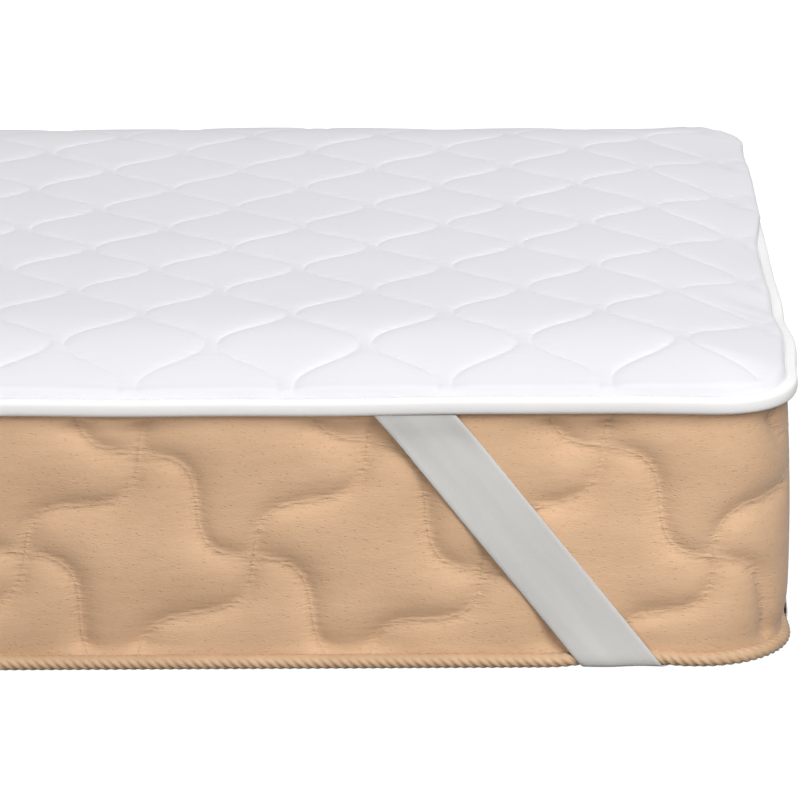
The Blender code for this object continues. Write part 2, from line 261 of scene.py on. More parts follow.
def stretched(tree, cloth, share):
    """The place on the cloth with its length squeezed, which draws a texture out lengthwise."""
    parts = add_node(tree, "ShaderNodeSeparateXYZ", {0: cloth})
    along = maths(tree, "MULTIPLY", parts.outputs[0], share)
    return add_node(tree, "ShaderNodeCombineXYZ", {0: along, 1: parts.outputs[1]}).outputs[0]


def new_group(name, kind, inputs, outputs):
    """An empty node group with named inputs (name: default) and outputs (name: socket type)."""
    tree = bpy.data.node_groups.new(name, kind)
    for label, (socket, default) in inputs.items():
        made = tree.interface.new_socket(label, in_out="INPUT", socket_type=socket)
        if default is not None:
            made.default_value = default
    for label, socket in outputs.items():
        tree.interface.new_socket(label, in_out="OUTPUT", socket_type=socket)
    given = tree.nodes.new("NodeGroupInput")
    wanted = tree.nodes.new("NodeGroupOutput")
    return tree, given.outputs, wanted.inputs


NUMBER, PLACE = "NodeSocketFloat", "NodeSocketVector"
print("node helpers ready")

# %% [markdown]
# ## What cloth looks like from near
#
# The cloths here share three effects, so each is a shader group that a material places with its
# own values. The first is the weave: threads cross at right angles, and two sine waves
# multiplied give the small checked hills where one thread passes over the other.

# %% A weave for any cloth
def weave_group():
    tree, given, wanted = new_group(
        "crossing_threads",
        "ShaderNodeTree",
        {"Cloth": (PLACE, None), "Along Pitch": (NUMBER, 0.001), "Across Pitch": (NUMBER, 0.001)},
        {"Hill": NUMBER},
    )
    parts = add_node(tree, "ShaderNodeSeparateXYZ", {0: given["Cloth"]})
    along = maths(tree, "DIVIDE", parts.outputs[0], given["Along Pitch"])
    across = maths(tree, "DIVIDE", parts.outputs[1], given["Across Pitch"])
    waves = []
    for turns in (along, across):
        waves.append(maths(tree, "SINE", maths(tree, "MULTIPLY", turns, math.pi)))
    tree.links.new(maths(tree, "MULTIPLY", *waves), wanted["Hill"])
    return tree


CROSSING_THREADS = weave_group()
print("group:", CROSSING_THREADS.name)

# %% [markdown]
# The second is the nap: short loose fibres that make a brushed cloth look soft. Two noises, a
# fine one and a coarse one, give a height for the bump, and a slow one gives a faint change of
# shade from place to place, as in any cloth that was dyed and handled.

# %% A nap for any cloth
def nap_group():
    tree, given, wanted = new_group(
        "soft_nap",
        "ShaderNodeTree",
        {
            "Cloth": (PLACE, None),
            "Fibre": (NUMBER, 0.0006),
            "Lump": (NUMBER, 0.006),
            "Cloud": (NUMBER, 0.15),
        },
        {"Height": NUMBER, "Shade": NUMBER},
    )
    noises = []
    for size in ("Fibre", "Lump", "Cloud"):
        scale = maths(tree, "DIVIDE", 1.0, given[size])
        spots = {"Vector": given["Cloth"], "Scale": scale}
        noises.append(add_node(tree, "ShaderNodeTexNoise", spots).outputs[0])
    rough = maths(tree, "MULTIPLY_ADD", noises[0], 0.5, maths(tree, "MULTIPLY", noises[1], 0.5))
    tree.links.new(rough, wanted["Height"])
    tree.links.new(noises[2], wanted["Shade"])
    return tree


SOFT_NAP = nap_group()
print("group:", SOFT_NAP.name)

# %% [markdown]
# The third is the puckering of a sewn seam. The thread gathers the cloth a little, so short
# folds run out from the seam at right angles and die away. The mesh of a quilted piece carries
# each point's distance from its nearest seam, and the group fades a stretched noise with it.

# %% Puckers beside a seam
def pucker_group():
    tree, given, wanted = new_group(
        "seam_puckers",
        "ShaderNodeTree",
        {
            "Cloth": (PLACE, None),
            "From Seam": (NUMBER, 1.0),
            "Reach": (NUMBER, 0.010),
            "Pitch": (NUMBER, 0.006),
            "Stretch": (NUMBER, 0.2),
        },
        {"Height": NUMBER},
    )
    away = maths(tree, "MULTIPLY", given["From Seam"], -1.0)
    fade = maths(tree, "EXPONENT", maths(tree, "DIVIDE", away, given["Reach"]))
    squeezed = stretched(tree, given["Cloth"], given["Stretch"])
    scale = maths(tree, "DIVIDE", 1.0, given["Pitch"])
    folds = add_node(tree, "ShaderNodeTexNoise", {"Vector": squeezed, "Scale": scale})
    tree.links.new(maths(tree, "MULTIPLY", folds.outputs[0], fade), wanted["Height"])
    return tree


SEAM_PUCKERS = pucker_group()
print("group:", SEAM_PUCKERS.name)

# %% [markdown]
# Each material starts the same way: a Principled shader with its constant values set on its
# own sockets, and the piece's UV map as the place on the cloth. A mix of two close colours
# follows a shade, and one bump turns heights in metres into a normal.

# %% Material helpers
def cloth_material(name, roughness, sheen):
    made = bpy.data.materials.new(name)
    made.use_nodes = True
    shader = made.node_tree.nodes["Principled BSDF"]
    shader.inputs["Roughness"].default_value = roughness
    shader.inputs["Sheen Weight"].default_value = sheen
    shader.inputs["Sheen Roughness"].default_value = 0.5
    shader.inputs["Specular IOR Level"].default_value = 0.3
    cloth = add_node(made.node_tree, "ShaderNodeUVMap", uv_map="cloth")
    return made, made.node_tree, shader, cloth.outputs[0]


def use_group(tree, group, inputs):
    node = tree.nodes.new("ShaderNodeGroup")
    node.node_tree = group
    for name, value in inputs.items():
        if isinstance(value, bpy.types.NodeSocket):
            tree.links.new(value, node.inputs[name])
        else:
            node.inputs[name].default_value = value
    return node.outputs


def tinted(tree, shade, dark, light):
    """A colour that goes from dark to light as the shade goes from 0 to 1."""
    mix = add_node(tree, "ShaderNodeMix", {0: shade}, data_type="RGBA")
    first, second = (socket for socket in mix.inputs if socket.type == "RGBA")
    first.default_value = (*dark, 1.0)
    second.default_value = (*light, 1.0)
    return next(socket for socket in mix.outputs if socket.type == "RGBA")


def bumped(tree, shader, *heights):
    """Feeds the shader's normal with (height, depth in metres) pairs, added together."""
    total = 0.0
    for height, depth in heights:
        total = maths(tree, "MULTIPLY_ADD", height, depth, total)
    bump = add_node(tree, "ShaderNodeBump", {"Height": total, "Strength": 1.0, "Distance": 1.0})
    tree.links.new(bump.outputs[0], shader.inputs["Normal"])


print("material helpers ready")

# %% [markdown]
# ## The white cloth of the pad
#
# It is a brushed polyester: matt, very light, with a hint of lilac in its shadows. The nap
# does most of the work. The puckers are only strong within a centimetre of a seam.

# %% Quilted white cloth
def quilted_cloth():
    made, tree, shader, cloth = cloth_material("quilted_white_cloth", roughness=0.85, sheen=0.15)
    nap = use_group(tree, SOFT_NAP, {"Cloth": cloth, "Fibre": 0.0007, "Lump": 0.008, "Cloud": 0.20})
    gap = add_node(tree, "ShaderNodeAttribute", attribute_name="from_seam").outputs["Fac"]
    sizes = {"Reach": 0.007, "Pitch": 0.007, "Stretch": 0.25}
    puckers = use_group(tree, SEAM_PUCKERS, {"Cloth": cloth, "From Seam": gap, **sizes})
    colour = tinted(tree, nap["Shade"], dark=(0.80, 0.79, 0.83), light=(0.86, 0.85, 0.88))
    tree.links.new(colour, shader.inputs["Base Color"])
    bumped(tree, shader, (nap["Height"], 0.00015), (puckers["Height"], 0.0012))
    return made


WHITE_CLOTH = quilted_cloth()
print("material:", WHITE_CLOTH.name)

# %% [markdown]
# ## The quilting
#
# The pad is two layers of cloth with fibre between, sewn together in wavy lines. It lies flat
# on the middle of the bed and falls towards its rim, over the mattress's rounded shoulder. The
# seams lie in this surface, and the puffs rise from it.

# %% The surface of the pad
SEAM_HEIGHT = 0.2460
RIM_DROP = 0.0243
RIM_REACH = 0.155


def seam_surface(x, y):
    share = np.maximum(0, 1 - rim_distance(x, y) / RIM_REACH)
    return SEAM_HEIGHT - RIM_DROP * share**2


print(f"the seams lie at {SEAM_HEIGHT:.4f} in the middle and {SEAM_HEIGHT - RIM_DROP:.4f} at the rim")

# %% [markdown]
# Neighbouring seams wave against each other, so they part round a puff and then nearly meet at
# a neck. Each seam has a number, and one formula says where it crosses any row. The filling
# drags the seams of a real topper off the even pattern, by up to a centimetre in places, and a
# short table of shifts does the same here.

# %% Where the seams run
ONION_WIDTH = 0.1233  # from neck to neck along the bed
ONION_LENGTH = 0.1447  # and across it
NECK_GAP = 0.009
NECK_SHARE = 0.03
NECK_X = 0.8555
NECK_Y = -0.4395
SEAM_WANDER = 0.0012
SEAM_WANDER_SIZE = 0.11
# (x, y, shift along, shift back) of places where the seams lie off the even pattern
QUILT_SHIFTS = (
    (0.42, -0.30, 0.004, 0.003),
    (0.42, -0.08, 0.009, -0.004),
    (0.42, 0.14, 0.005, -0.006),
    (0.42, 0.34, 0.007, -0.008),
    (0.60, -0.30, -0.001, -0.006),
    (0.60, -0.08, 0.000, -0.006),
    (0.60, 0.14, -0.004, -0.004),
    (0.60, 0.34, 0.002, -0.005),
    (0.78, 0.14, -0.005, 0.001),
    (0.78, 0.34, -0.001, -0.004),
    (0.94, -0.30, 0.000, 0.008),
    (0.94, 0.14, -0.004, 0.002),
)
QUILT_SHIFT_REACH = 0.15
SMALL_STEP = 1e-4  # for measuring a slope


def swing(y):
    """How far a seam swings from its middle line. The small third wave lengthens the necks."""
    turn = 2 * math.pi * (y - NECK_Y) / ONION_LENGTH
    shape = (np.cos(turn) - NECK_SHARE * np.cos(3 * turn)) / (1 - NECK_SHARE)
    return (ONION_WIDTH / 4 - NECK_GAP / 2) * shape


def quilt_shift(x, y):
    """How far the seams lie off the even pattern, along and back."""
    total_along, total_back = 0.0, 0.0
    for place_x, place_y, along, back in QUILT_SHIFTS:
        strength = np.exp(-((x - place_x) ** 2 + (y - place_y) ** 2) / QUILT_SHIFT_REACH**2)
        total_along = total_along + along * strength
        total_back = total_back + back * strength
    return total_along, total_back


def seam_x(number, y):
    """Where a seam crosses a row: even and odd ones swing against each other."""
    straight = NECK_X + (number + 0.5) * ONION_WIDTH / 2
    against = np.where(number % 2 == 0, -1, 1)
    along, back = quilt_shift(straight, y)
    wander = SEAM_WANDER * ripple(number * ONION_WIDTH, y, SEAM_WANDER_SIZE, seed=3)
    return straight + along + against * swing(y - back) + wander


def seam_lean(y):
    """The cosine of a seam's slant, which turns a distance along a row into one from the seam."""
    slope = (swing(y + SMALL_STEP) - swing(y - SMALL_STEP)) / (2 * SMALL_STEP)
    return 1 / np.sqrt(1 + slope**2)


first_seam = math.ceil((-TOPPER_LENGTH / 2 - NECK_X) / (ONION_WIDTH / 2)) - 1
last_seam = math.floor((TOPPER_LENGTH / 2 - NECK_X) / (ONION_WIDTH / 2))
SEAM_NUMBERS = np.arange(first_seam, last_seam + 1)
print(f"{len(SEAM_NUMBERS)} seams, {ONION_WIDTH / 2 * 1000:.0f} mm apart on average")

# %% [markdown]
# The rim of the real topper isn't a straight ruled edge. It swells out at the corners, where
# the quilting ends in a fat lobe, draws in where the strap pulls, and rises and falls by a
# millimetre or two. The table says how far out and up each stretch goes. Everything near the
# rim moves by it, and what lies more than 70 mm inside stays where it is.

# %% The uneven rim
RIM_HOLD = 0.070  # how far in from the rim the shapes reach
HEM_WAVE = 0.0007
HEM_WAVE_SIZE = 0.10
# (x, y, reach, out, up) of each lobe and draw-in on the right, from front to back. The left
# end has the same, as the topper is pulled alike at both.
RIM_SHAPES = (
    (0.605, -0.460, 0.085, 0.0000, -0.0022),
    (0.930, -0.460, 0.060, 0.0008, -0.0012),
    (0.985, -0.440, 0.035, -0.0006, -0.0012),
    (1.010, -0.385, 0.040, -0.0036, 0.0000),
    (1.010, -0.295, 0.035, 0.0014, 0.0010),
    (1.010, -0.215, 0.030, -0.0012, -0.0030),
    (1.010, -0.100, 0.050, -0.0008, 0.0000),
    (1.010, 0.250, 0.110, 0.0018, 0.0000),
    (0.988, 0.438, 0.045, 0.0110, 0.0000),
    (0.890, 0.460, 0.080, 0.0000, -0.0022),
)


def rim_shift(x, y):
    """How far the cloth moves out and up, and the outward direction."""
    core_x = np.clip(x, TOPPER_BEND - TOPPER_LENGTH / 2, TOPPER_LENGTH / 2 - TOPPER_BEND)
    core_y = np.clip(y, TOPPER_BEND - TOPPER_WIDTH / 2, TOPPER_WIDTH / 2 - TOPPER_BEND)
    away = np.maximum(np.hypot(x - core_x, y - core_y), 1e-9)
    out_x, out_y = (x - core_x) / away, (y - core_y) / away
    edge_x, edge_y = core_x + out_x * TOPPER_BEND, core_y + out_y * TOPPER_BEND
    out = np.zeros_like(edge_x)
    up = HEM_WAVE * ripple(edge_x, edge_y, HEM_WAVE_SIZE, seed=5)
    for side_x in (1, -1):
        for shape_x, shape_y, reach, shape_out, shape_up in RIM_SHAPES:
            from_shape = np.hypot(edge_x - side_x * shape_x, edge_y - shape_y)
            strength = np.exp(-((from_shape / reach) ** 2))
            out += shape_out * strength
            up += shape_up * strength
    near = np.clip(1 - rim_distance(x, y) / RIM_HOLD, 0, 1)
    near = near * near * (3 - 2 * near)
    return out * near, up * near, out_x, out_y


def shifted(points):
    """Points of the topper, moved with the rim's shapes."""
    out, up, out_x, out_y = rim_shift(points[:, 0], points[:, 1])
    return points + np.column_stack([out * out_x, out * out_y, up])


print("furthest out:", round(float(rim_shift(*rim_places.T)[0].max()), 4))

# %% [markdown]
# The top of the pad could be one fine square grid, but the narrow valleys of the seams would
# cut across its squares and look like saw teeth. Here the columns of the grid follow the seams
# instead, and crowd towards them. Where a round corner cuts a row short, the columns that
# would pass it are held at the edge and merged afterwards.

# %% A grid that follows the seams
PAD_LIP = 0.0105  # where the grid ends, in from the rim
COLUMNS_A_BAND = 12
CROWDING = 1.7
ROW_SPACING = 0.0050
LIP_ROW_SPACING, ROW_GROWTH = 0.0015, 0.1
EDGE_STEPS = np.array([0.0, 0.0006, 0.0014, 0.0024, 0.0036, 0.0050, 0.0066, 0.0085])


def pad_rows():
    """The y of each row: even in the middle, and closer towards the front and back lips."""
    edge = TOPPER_WIDTH / 2 - PAD_LIP
    bend = TOPPER_BEND - PAD_LIP
    behind = EDGE_STEPS[-1]
    steps = list(EDGE_STEPS)
    while behind < bend:
        behind += min(ROW_SPACING, LIP_ROW_SPACING + behind * ROW_GROWTH)
        steps.append(behind)
    near = np.array(steps) - edge
    middle = np.linspace(near[-1], -near[-1], round(-2 * near[-1] / ROW_SPACING))[1:-1]
    return np.concatenate([near, middle, -near[::-1]])


def pad_columns(rows):
    """The x of each point of the grid, and its distance from the nearest seam."""
    half = (2 * np.arange(COLUMNS_A_BAND // 2) / COLUMNS_A_BAND) ** CROWDING / 2
    shares = np.concatenate([half, 1 - half[:0:-1], [0.5]])
    shares.sort()
    edge = TOPPER_WIDTH / 2 - PAD_LIP
    bend = TOPPER_BEND - PAD_LIP
    past = np.maximum(0, np.abs(rows) - (edge - bend))
    reach = TOPPER_LENGTH / 2 - PAD_LIP - bend + np.sqrt(np.maximum(0, bend**2 - past**2))
    inner = reach - EDGE_STEPS[-1]
    seams = np.stack([seam_x(number, rows) for number in SEAM_NUMBERS])
    columns = []
    for left, right in zip(seams, seams[1:]):
        columns += [left + share * (right - left) for share in shares]
    columns.append(seams[-1])
    columns = np.clip(np.stack(columns), -inner, inner)
    ends = reach - EDGE_STEPS[:-1, None]
    return np.concatenate([-ends, columns, ends[::-1]]).T


def seam_gaps(x, rows):
    """Distances from the seams on both sides of each point, measured square to the seam."""
    numbers = np.arange(SEAM_NUMBERS[0] - 1, SEAM_NUMBERS[-1] + 2)
    seams = np.stack([seam_x(number, rows) for number in numbers])
    left = np.full(x.shape, -np.inf)
    right = np.full(x.shape, np.inf)
    for seam in seams[:, :, None]:
        gap = x - seam
        left = np.where((gap >= -TOUCHING) & (seam > left), seam, left)
        right = np.where((gap < -TOUCHING) & (seam < right), seam, right)
    lean = seam_lean(rows)[:, None]
    return (x - left) * lean, (right - x) * lean


rows = pad_rows()
columns = pad_columns(rows)
print(f"the grid has {columns.shape[1]} columns and {columns.shape[0]} rows")

# %% [markdown]
# Small creases run in from the rim where it is drawn in, and the pad lies slack by one corner.
# Each crease is a trough along a short line, deepest near its middle, and the slack place is
# one wide shallow dip. Both are placed where they lie on the real pad.

# %% Creases
# (x, y, towards x, towards y, half width, depth) of each crease by the front right corner
CREASES = (
    (0.9990, -0.236, 0.9640, -0.205, 0.0035, 0.0011),
    (0.9985, -0.224, 0.9560, -0.186, 0.0030, 0.0008),
    (0.9930, -0.262, 0.9480, -0.246, 0.0045, 0.0009),
)
# (x, y, reach, depth) of the slack place by the back right corner
SLACK = (0.930, 0.350, 0.080, 0.0045)


def slack(x, y):
    place_x, place_y, reach, depth = SLACK
    return depth * np.exp(-((x - place_x) ** 2 + (y - place_y) ** 2) / reach**2)


def crease_depth(x, y):
    total = np.zeros_like(x)
    for start_x, start_y, end_x, end_y, half_width, depth in CREASES:
        line = np.array([end_x - start_x, end_y - start_y])
        along = ((x - start_x) * line[0] + (y - start_y) * line[1]) / (line @ line)
        held = np.clip(along, 0, 1)
        off = np.hypot(x - start_x - held * line[0], y - start_y - held * line[1])
        fading = np.sin(math.pi * (0.15 + 0.8 * held))  # half as deep at the rim, and dying away inside
        total += depth * np.exp(-((off / half_width) ** 2)) * fading
    return total


print(f"{len(CREASES)} creases, and a slack place {SLACK[-1] * 1000:.1f} mm deep")

# %% [markdown]
# Now the height of each point. Beside a seam the cloth rises like a spring that was held down,
# so a puff is a product of one such rise from each side. A tight rise close to the seams and a
# slow one across the whole puff are added, and slow ripples make some puffs fuller than
# others. Between two seams that nearly meet, the thread holds the filling down.

# %% Heights of the pad's top
PUFF = 0.0018
SEAM_TUCK = 0.0034  # the cloth has risen by two thirds at this distance from a seam
CROWN = 0.0011  # how much fuller the middle of a puff is than its sides
CROWN_TUCK = 0.016
LOFT = 0.0010  # the filling lifts even the seams a little
NECK_FLAT = 0.5  # how much of the puff is lost between two seams that nearly meet
NECK_FLAT_WIDTH = 0.014
UNEVEN_PUFFS = 0.14
UNEVEN_SIZE = 0.16
SLOW_WAVE = 0.0009
SLOW_SIZE = 0.30
SWELL = 0.0065  # over this distance from its lip the pad swells to its full height
PAD_PINNED = TAPE_MIDDLE + 0.00475


def puff_rise(gap, tuck):
    return 1 - np.exp(-np.maximum(gap, 0) / tuck)


def pad_heights(x, y, left_gap, right_gap):
    fullness = 1 + UNEVEN_PUFFS * ripple(x, y, UNEVEN_SIZE, seed=7)
    tight = PUFF * fullness * puff_rise(left_gap, SEAM_TUCK) * puff_rise(right_gap, SEAM_TUCK)
    full = CROWN * fullness * puff_rise(left_gap, CROWN_TUCK) * puff_rise(right_gap, CROWN_TUCK)
    narrow = np.exp(-(((left_gap + right_gap) / NECK_FLAT_WIDTH) ** 2))
    puff = (tight + full) * (1 - NECK_FLAT * narrow)
    slow = SLOW_WAVE * ripple(x, y, SLOW_SIZE, seed=9) - slack(x, y)
    free = seam_surface(x, y) + LOFT + puff + slow - crease_depth(x, y)
    share = np.clip((rim_distance(x, y) - PAD_LIP) / SWELL, 0, 1)
    return PAD_PINNED + np.sin(share * math.pi / 2) * (free - PAD_PINNED)


grid_y = np.broadcast_to(rows[:, None], columns.shape)
left_gap, right_gap = seam_gaps(columns, rows)
heights = pad_heights(columns, grid_y, left_gap, right_gap)
print(f"the top lies between {heights.min():.4f} and {heights.max():.4f}")

# %% [markdown]
# Behind the tape the filling pushes the cloth up and outwards, so that the pad hangs a little
# over the line where the tape is sewn on. Along the ends of the bed, where the pad is pulled
# down harder, it covers the most of the tape.

# %% The swelling over the tape
BULGE = 0.0030
BULGE_REACH = 1.4 * SWELL
BULGE_LEAN = 0.7  # under 1, the fullest place is nearer the tape
END_BULGE = 0.0100
END_RAMP = 0.03
END_BULGE_FROM_Y = 0.05
FROM_Y_RAMP = 0.10


def bulged(points):
    """The pad's top, pushed outwards over the first few millimetres behind the tape."""
    x, y = points[:, 0], points[:, 1]
    share = np.clip((rim_distance(x, y) - PAD_LIP) / BULGE_REACH, 0, 1)
    on_end = np.clip((np.abs(x) - (TOPPER_LENGTH / 2 - TOPPER_BEND)) / END_RAMP, 0, 1)
    far = np.clip((y - END_BULGE_FROM_Y) / FROM_Y_RAMP + 0.5, 0, 1)
    push = (BULGE + END_BULGE * on_end * far) * np.sin(math.pi * share**BULGE_LEAN)
    out_x, out_y = rim_shift(x, y)[2:]
    return points + np.column_stack([push * out_x, push * out_y, np.zeros_like(push)])


print(f"the pad hangs over the tape by {BULGE * 1000:.1f} mm or more")

# %% [markdown]
# The rest of the pad is hidden, but it is a closed body all the same. From the edge of the
# grid, rings of points go under the tape, round the rim, and back along the underside, which
# follows the crowned top of the mattress.

# %% The hidden side of the pad
PAD_THICKNESS = 0.0120
# (inset, up from the tape's middle) of each ring from the top of the edge to its middle
PAD_EDGE = ((0.0045, 0.00475), (0.0032, 0.0042), (0.0024, 0.0032), (0.0018, 0.0018), (0.0015, 0.0))
PAD_HEEL = 0.0120
UNDERSIDE_RINGS = (0.025, 0.045, 0.075, 0.110, 0.155)


def pad_edge_path():
    """Numbers of the grid's outermost points, anticlockwise from the front right."""
    row_count, column_count = columns.shape
    numbers = np.arange(row_count * column_count).reshape(row_count, column_count)
    sides = (numbers[:-1, -1], numbers[-1, :0:-1], numbers[:0:-1, 0], numbers[0, :-1])
    return np.concatenate(sides)


def drawn_in(places, inset):
    """Places on the lip's line, moved to another distance from the rim."""
    if inset > TOPPER_BEND:
        limits = np.array([TOPPER_LENGTH, TOPPER_WIDTH]) / 2 - inset
        return np.clip(places, -limits, limits)
    out_x, out_y = rim_shift(*places.T)[2:]
    return places + (PAD_LIP - inset) * np.column_stack([out_x, out_y])


def pad_underside(lip):
    """Rings from the lip round the edge and in along the underside."""
    rings = [raised(drawn_in(lip, inset), TAPE_MIDDLE + up) for inset, up in PAD_EDGE]
    rings += [raised(drawn_in(lip, inset), TAPE_MIDDLE - up) for inset, up in PAD_EDGE[-2::-1]]
    rings.append(raised(drawn_in(lip, PAD_HEEL), TAPE_MIDDLE - PAD_EDGE[0][1]))
    for inset in UNDERSIDE_RINGS:
        places = drawn_in(lip, inset)
        rings.append(raised(places, seam_surface(*places.T) - PAD_THICKNESS))
    return rings


print("the edge has", len(pad_edge_path()), "points")

# %% [markdown]
# The pad is put together from the grid, a strip that joins the grid to the first ring, the
# rings, and one face that closes the underside. Each point of the top also gets its distance
# from the nearest seam as an attribute, which the puckers of the cloth read.

# %% The whole pad
def pad_faces(edge, ring_count):
    """The grid's faces, the strip below its edge, the rings' faces and the closing one."""
    top_count, around = columns.size, len(edge)
    first_ring = top_count + np.arange(around)
    strip = np.stack([edge, np.roll(edge, -1), np.roll(first_ring, -1), first_ring], axis=1)
    below = ring_faces(ring_count, around) + top_count
    last_ring = top_count + (ring_count - 1) * around + np.arange(around)
    faces = ring_faces(*columns.shape, closed_path=False).tolist()
    faces += strip[:, ::-1].tolist() + below[:, ::-1].tolist()
    return faces + [last_ring[::-1].tolist()]


def quilted_pad():
    top = np.column_stack([columns.ravel(), grid_y.ravel(), heights.ravel()])
    edge = pad_edge_path()
    rings = pad_underside(top[edge][:, :2])
    points = np.concatenate([bulged(top), *rings])
    from_seam = np.full(len(points), 1.0)
    from_seam[:len(top)] = np.minimum(left_gap, right_gap).ravel()
    pad = add_piece("quilted_pad", shifted(points), pad_faces(edge, len(rings)), WHITE_CLOTH)
    carried = pad.data.attributes.new("from_seam", "FLOAT", "POINT")
    carried.data.foreach_set("value", np.maximum(from_seam, 0).astype(np.float32))
    tidy_mesh(pad.data)
    pad.data.shade_smooth()
    spots = np.array([vertex.co for vertex in pad.data.vertices])
    cloth_map(pad.data, spots[:, 0], spots[:, 1])
    return pad


pad = quilted_pad()
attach(pad, "root")
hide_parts("topper_pad")
report(pad)

# %% [markdown]
# ## The tape round the rim
#
# A maker folds a strip of smooth cloth over the raw edge of the pad and sews it down. Seen end
# on it is a flat loop, open towards the pad. It gets a fine plain weave and a little gloss.

# %% Tape cloth
def tape_cloth():
    made, tree, shader, cloth = cloth_material("smooth_white_tape", roughness=0.62, sheen=0.1)
    pitch = {"Along Pitch": 0.0007, "Across Pitch": 0.0007}
    threads = use_group(tree, CROSSING_THREADS, {"Cloth": cloth, **pitch})
    nap = use_group(tree, SOFT_NAP, {"Cloth": cloth, "Fibre": 0.0012, "Lump": 0.010, "Cloud": 0.08})
    colour = tinted(tree, nap["Shade"], dark=(0.95, 0.94, 0.935), light=(0.97, 0.96, 0.955))
    tree.links.new(colour, shader.inputs["Base Color"])
    bumped(tree, shader, (threads["Hill"], 0.00004), (nap["Height"], 0.00020))
    return made


TAPE_CLOTH = tape_cloth()
print("material:", TAPE_CLOTH.name)

# %% [markdown]
# A tape could be a strip with a Solidify modifier, but then its folded edge would be sharp. So
# its section is one closed outline, round the outside and back along the inside, and it is
# swept along the rim. A squareness under 1 turns the half circle of the fold into the flatter
# face that a pressed fold has.

# %% The folded tape
TAPE_REACH = 0.0100  # from the fold to the sewn edges
TAPE_HALF = 0.00625
TAPE_CLOTH_THICKNESS = 0.0012
RAW_EDGE = 0.0001  # how far the cut edges stand out past the faces
FOLD_DEPTH = 0.0060
FOLD_STEPS = 12
FOLD_SQUARENESS = 0.6
TAPE_SPACING = 0.0075


def squared(share):
    """Makes a round fold squarer, with a flatter face."""
    return math.copysign(abs(share) ** FOLD_SQUARENESS, share)


def tape_face(thickness, lip):
    """(inset, up) of one face of the tape, from its top edge round the fold to its lower one."""
    half = TAPE_HALF - thickness
    fold = FOLD_DEPTH - thickness
    flat = (TAPE_REACH + FOLD_DEPTH) / 2
    face = [(lip, half), (flat, half)]
    for turn in np.linspace(math.pi / 2, -math.pi / 2, FOLD_STEPS + 1):
        inset = thickness + fold * (1 - squared(math.cos(turn)))
        face.append((inset, half * squared(math.sin(turn))))
    return face + [(flat, -half), (lip, -half)]


def tape_section():
    """The outer face from top to bottom, a cut edge, the inner face back, and the other edge."""
    outer = tape_face(0.0, TAPE_REACH - 3 * RAW_EDGE)
    inner = tape_face(TAPE_CLOTH_THICKNESS, TAPE_REACH)
    middle = TAPE_HALF - TAPE_CLOTH_THICKNESS / 2
    edge = TAPE_REACH + RAW_EDGE
    return [*outer, (edge, -middle), *inner[::-1], (edge, middle)]


def rim_tape():
    places, outward = outline(TOPPER_LENGTH, TOPPER_WIDTH, TOPPER_BEND, TAPE_SPACING)
    section = tape_section()
    rings = [raised(places - inset * outward, TAPE_MIDDLE + up) for inset, up in section]
    faces = ring_faces(len(rings) + 1, len(places)) % (len(rings) * len(places))
    tape = add_piece("rim_tape", shifted(np.concatenate(rings)), faces.tolist(), TAPE_CLOTH)
    along, whole = walked_along(places)
    steps = [0.0] + [math.dist(a, b) for a, b in zip(section, section[1:])]
    cloth_map(tape.data, np.tile(along, len(rings)), np.repeat(np.cumsum(steps), len(places)), whole)
    tidy_mesh(tape.data)
    return tape, whole, sum(steps) / 2


tape, tape_length, tape_width = rim_tape()
report(tape)

# %% [markdown]
# ## Stitches
#
# There are thousands of stitches, all alike, each lying along its seam. That is work for
# Geometry Nodes. The tree takes bare lines, cuts them at an even pitch, and sets a small grain
# of thread on each cut, turned along the line. A lean turns every other grain the other way,
# which makes a zigzag. The direction in which the cloth faces comes with the lines.

# %% Turning a stitch
def stitch_rotation(tree, lean):
    """Along the line, flat on the cloth, and leaned to the left and the right by turns."""
    tangent = add_node(tree, "GeometryNodeInputTangent").outputs[0]
    kind = "FunctionNodeAlignRotationToVector"
    along = add_node(tree, kind, {"Vector": tangent}, axis="X").outputs[0]
    stored = {"Name": "facing"}
    facing = add_node(tree, "GeometryNodeInputNamedAttribute", stored, data_type="FLOAT_VECTOR")
    towards = {"Rotation": along, "Vector": facing.outputs[0]}
    flat = add_node(tree, kind, towards, axis="Z", pivot_axis="X").outputs[0]
    odd = maths(tree, "MODULO", add_node(tree, "GeometryNodeInputIndex").outputs[0], 2.0)
    leaning = maths(tree, "MULTIPLY", maths(tree, "MULTIPLY_ADD", odd, 2.0, -1.0), lean)
    turn = add_node(tree, "ShaderNodeCombineXYZ", {2: leaning}).outputs[0]
    kind = "FunctionNodeRotateRotation"
    return add_node(tree, kind, {0: flat, 1: turn}, rotation_space="LOCAL").outputs[0]


def finish_tree(tree, shape, material, wanted):
    """The last nodes of every tree: real faces, smooth, with their material."""
    real = add_node(tree, "GeometryNodeRealizeInstances", {0: shape})
    smooth = add_node(tree, "GeometryNodeSetShadeSmooth", {0: real.outputs[0]})
    dyed = add_node(tree, "GeometryNodeSetMaterial", {0: smooth.outputs[0], "Material": material})
    tree.links.new(dyed.outputs[0], wanted)


print("tree helpers ready")

# %% [markdown]
# The tree's own sizes are its named inputs, so that every kind of stitch on the bed is the same
# tree with other values. Its last nodes turn the instances into real faces, because an export
# would drop them, and give them the thread's material.

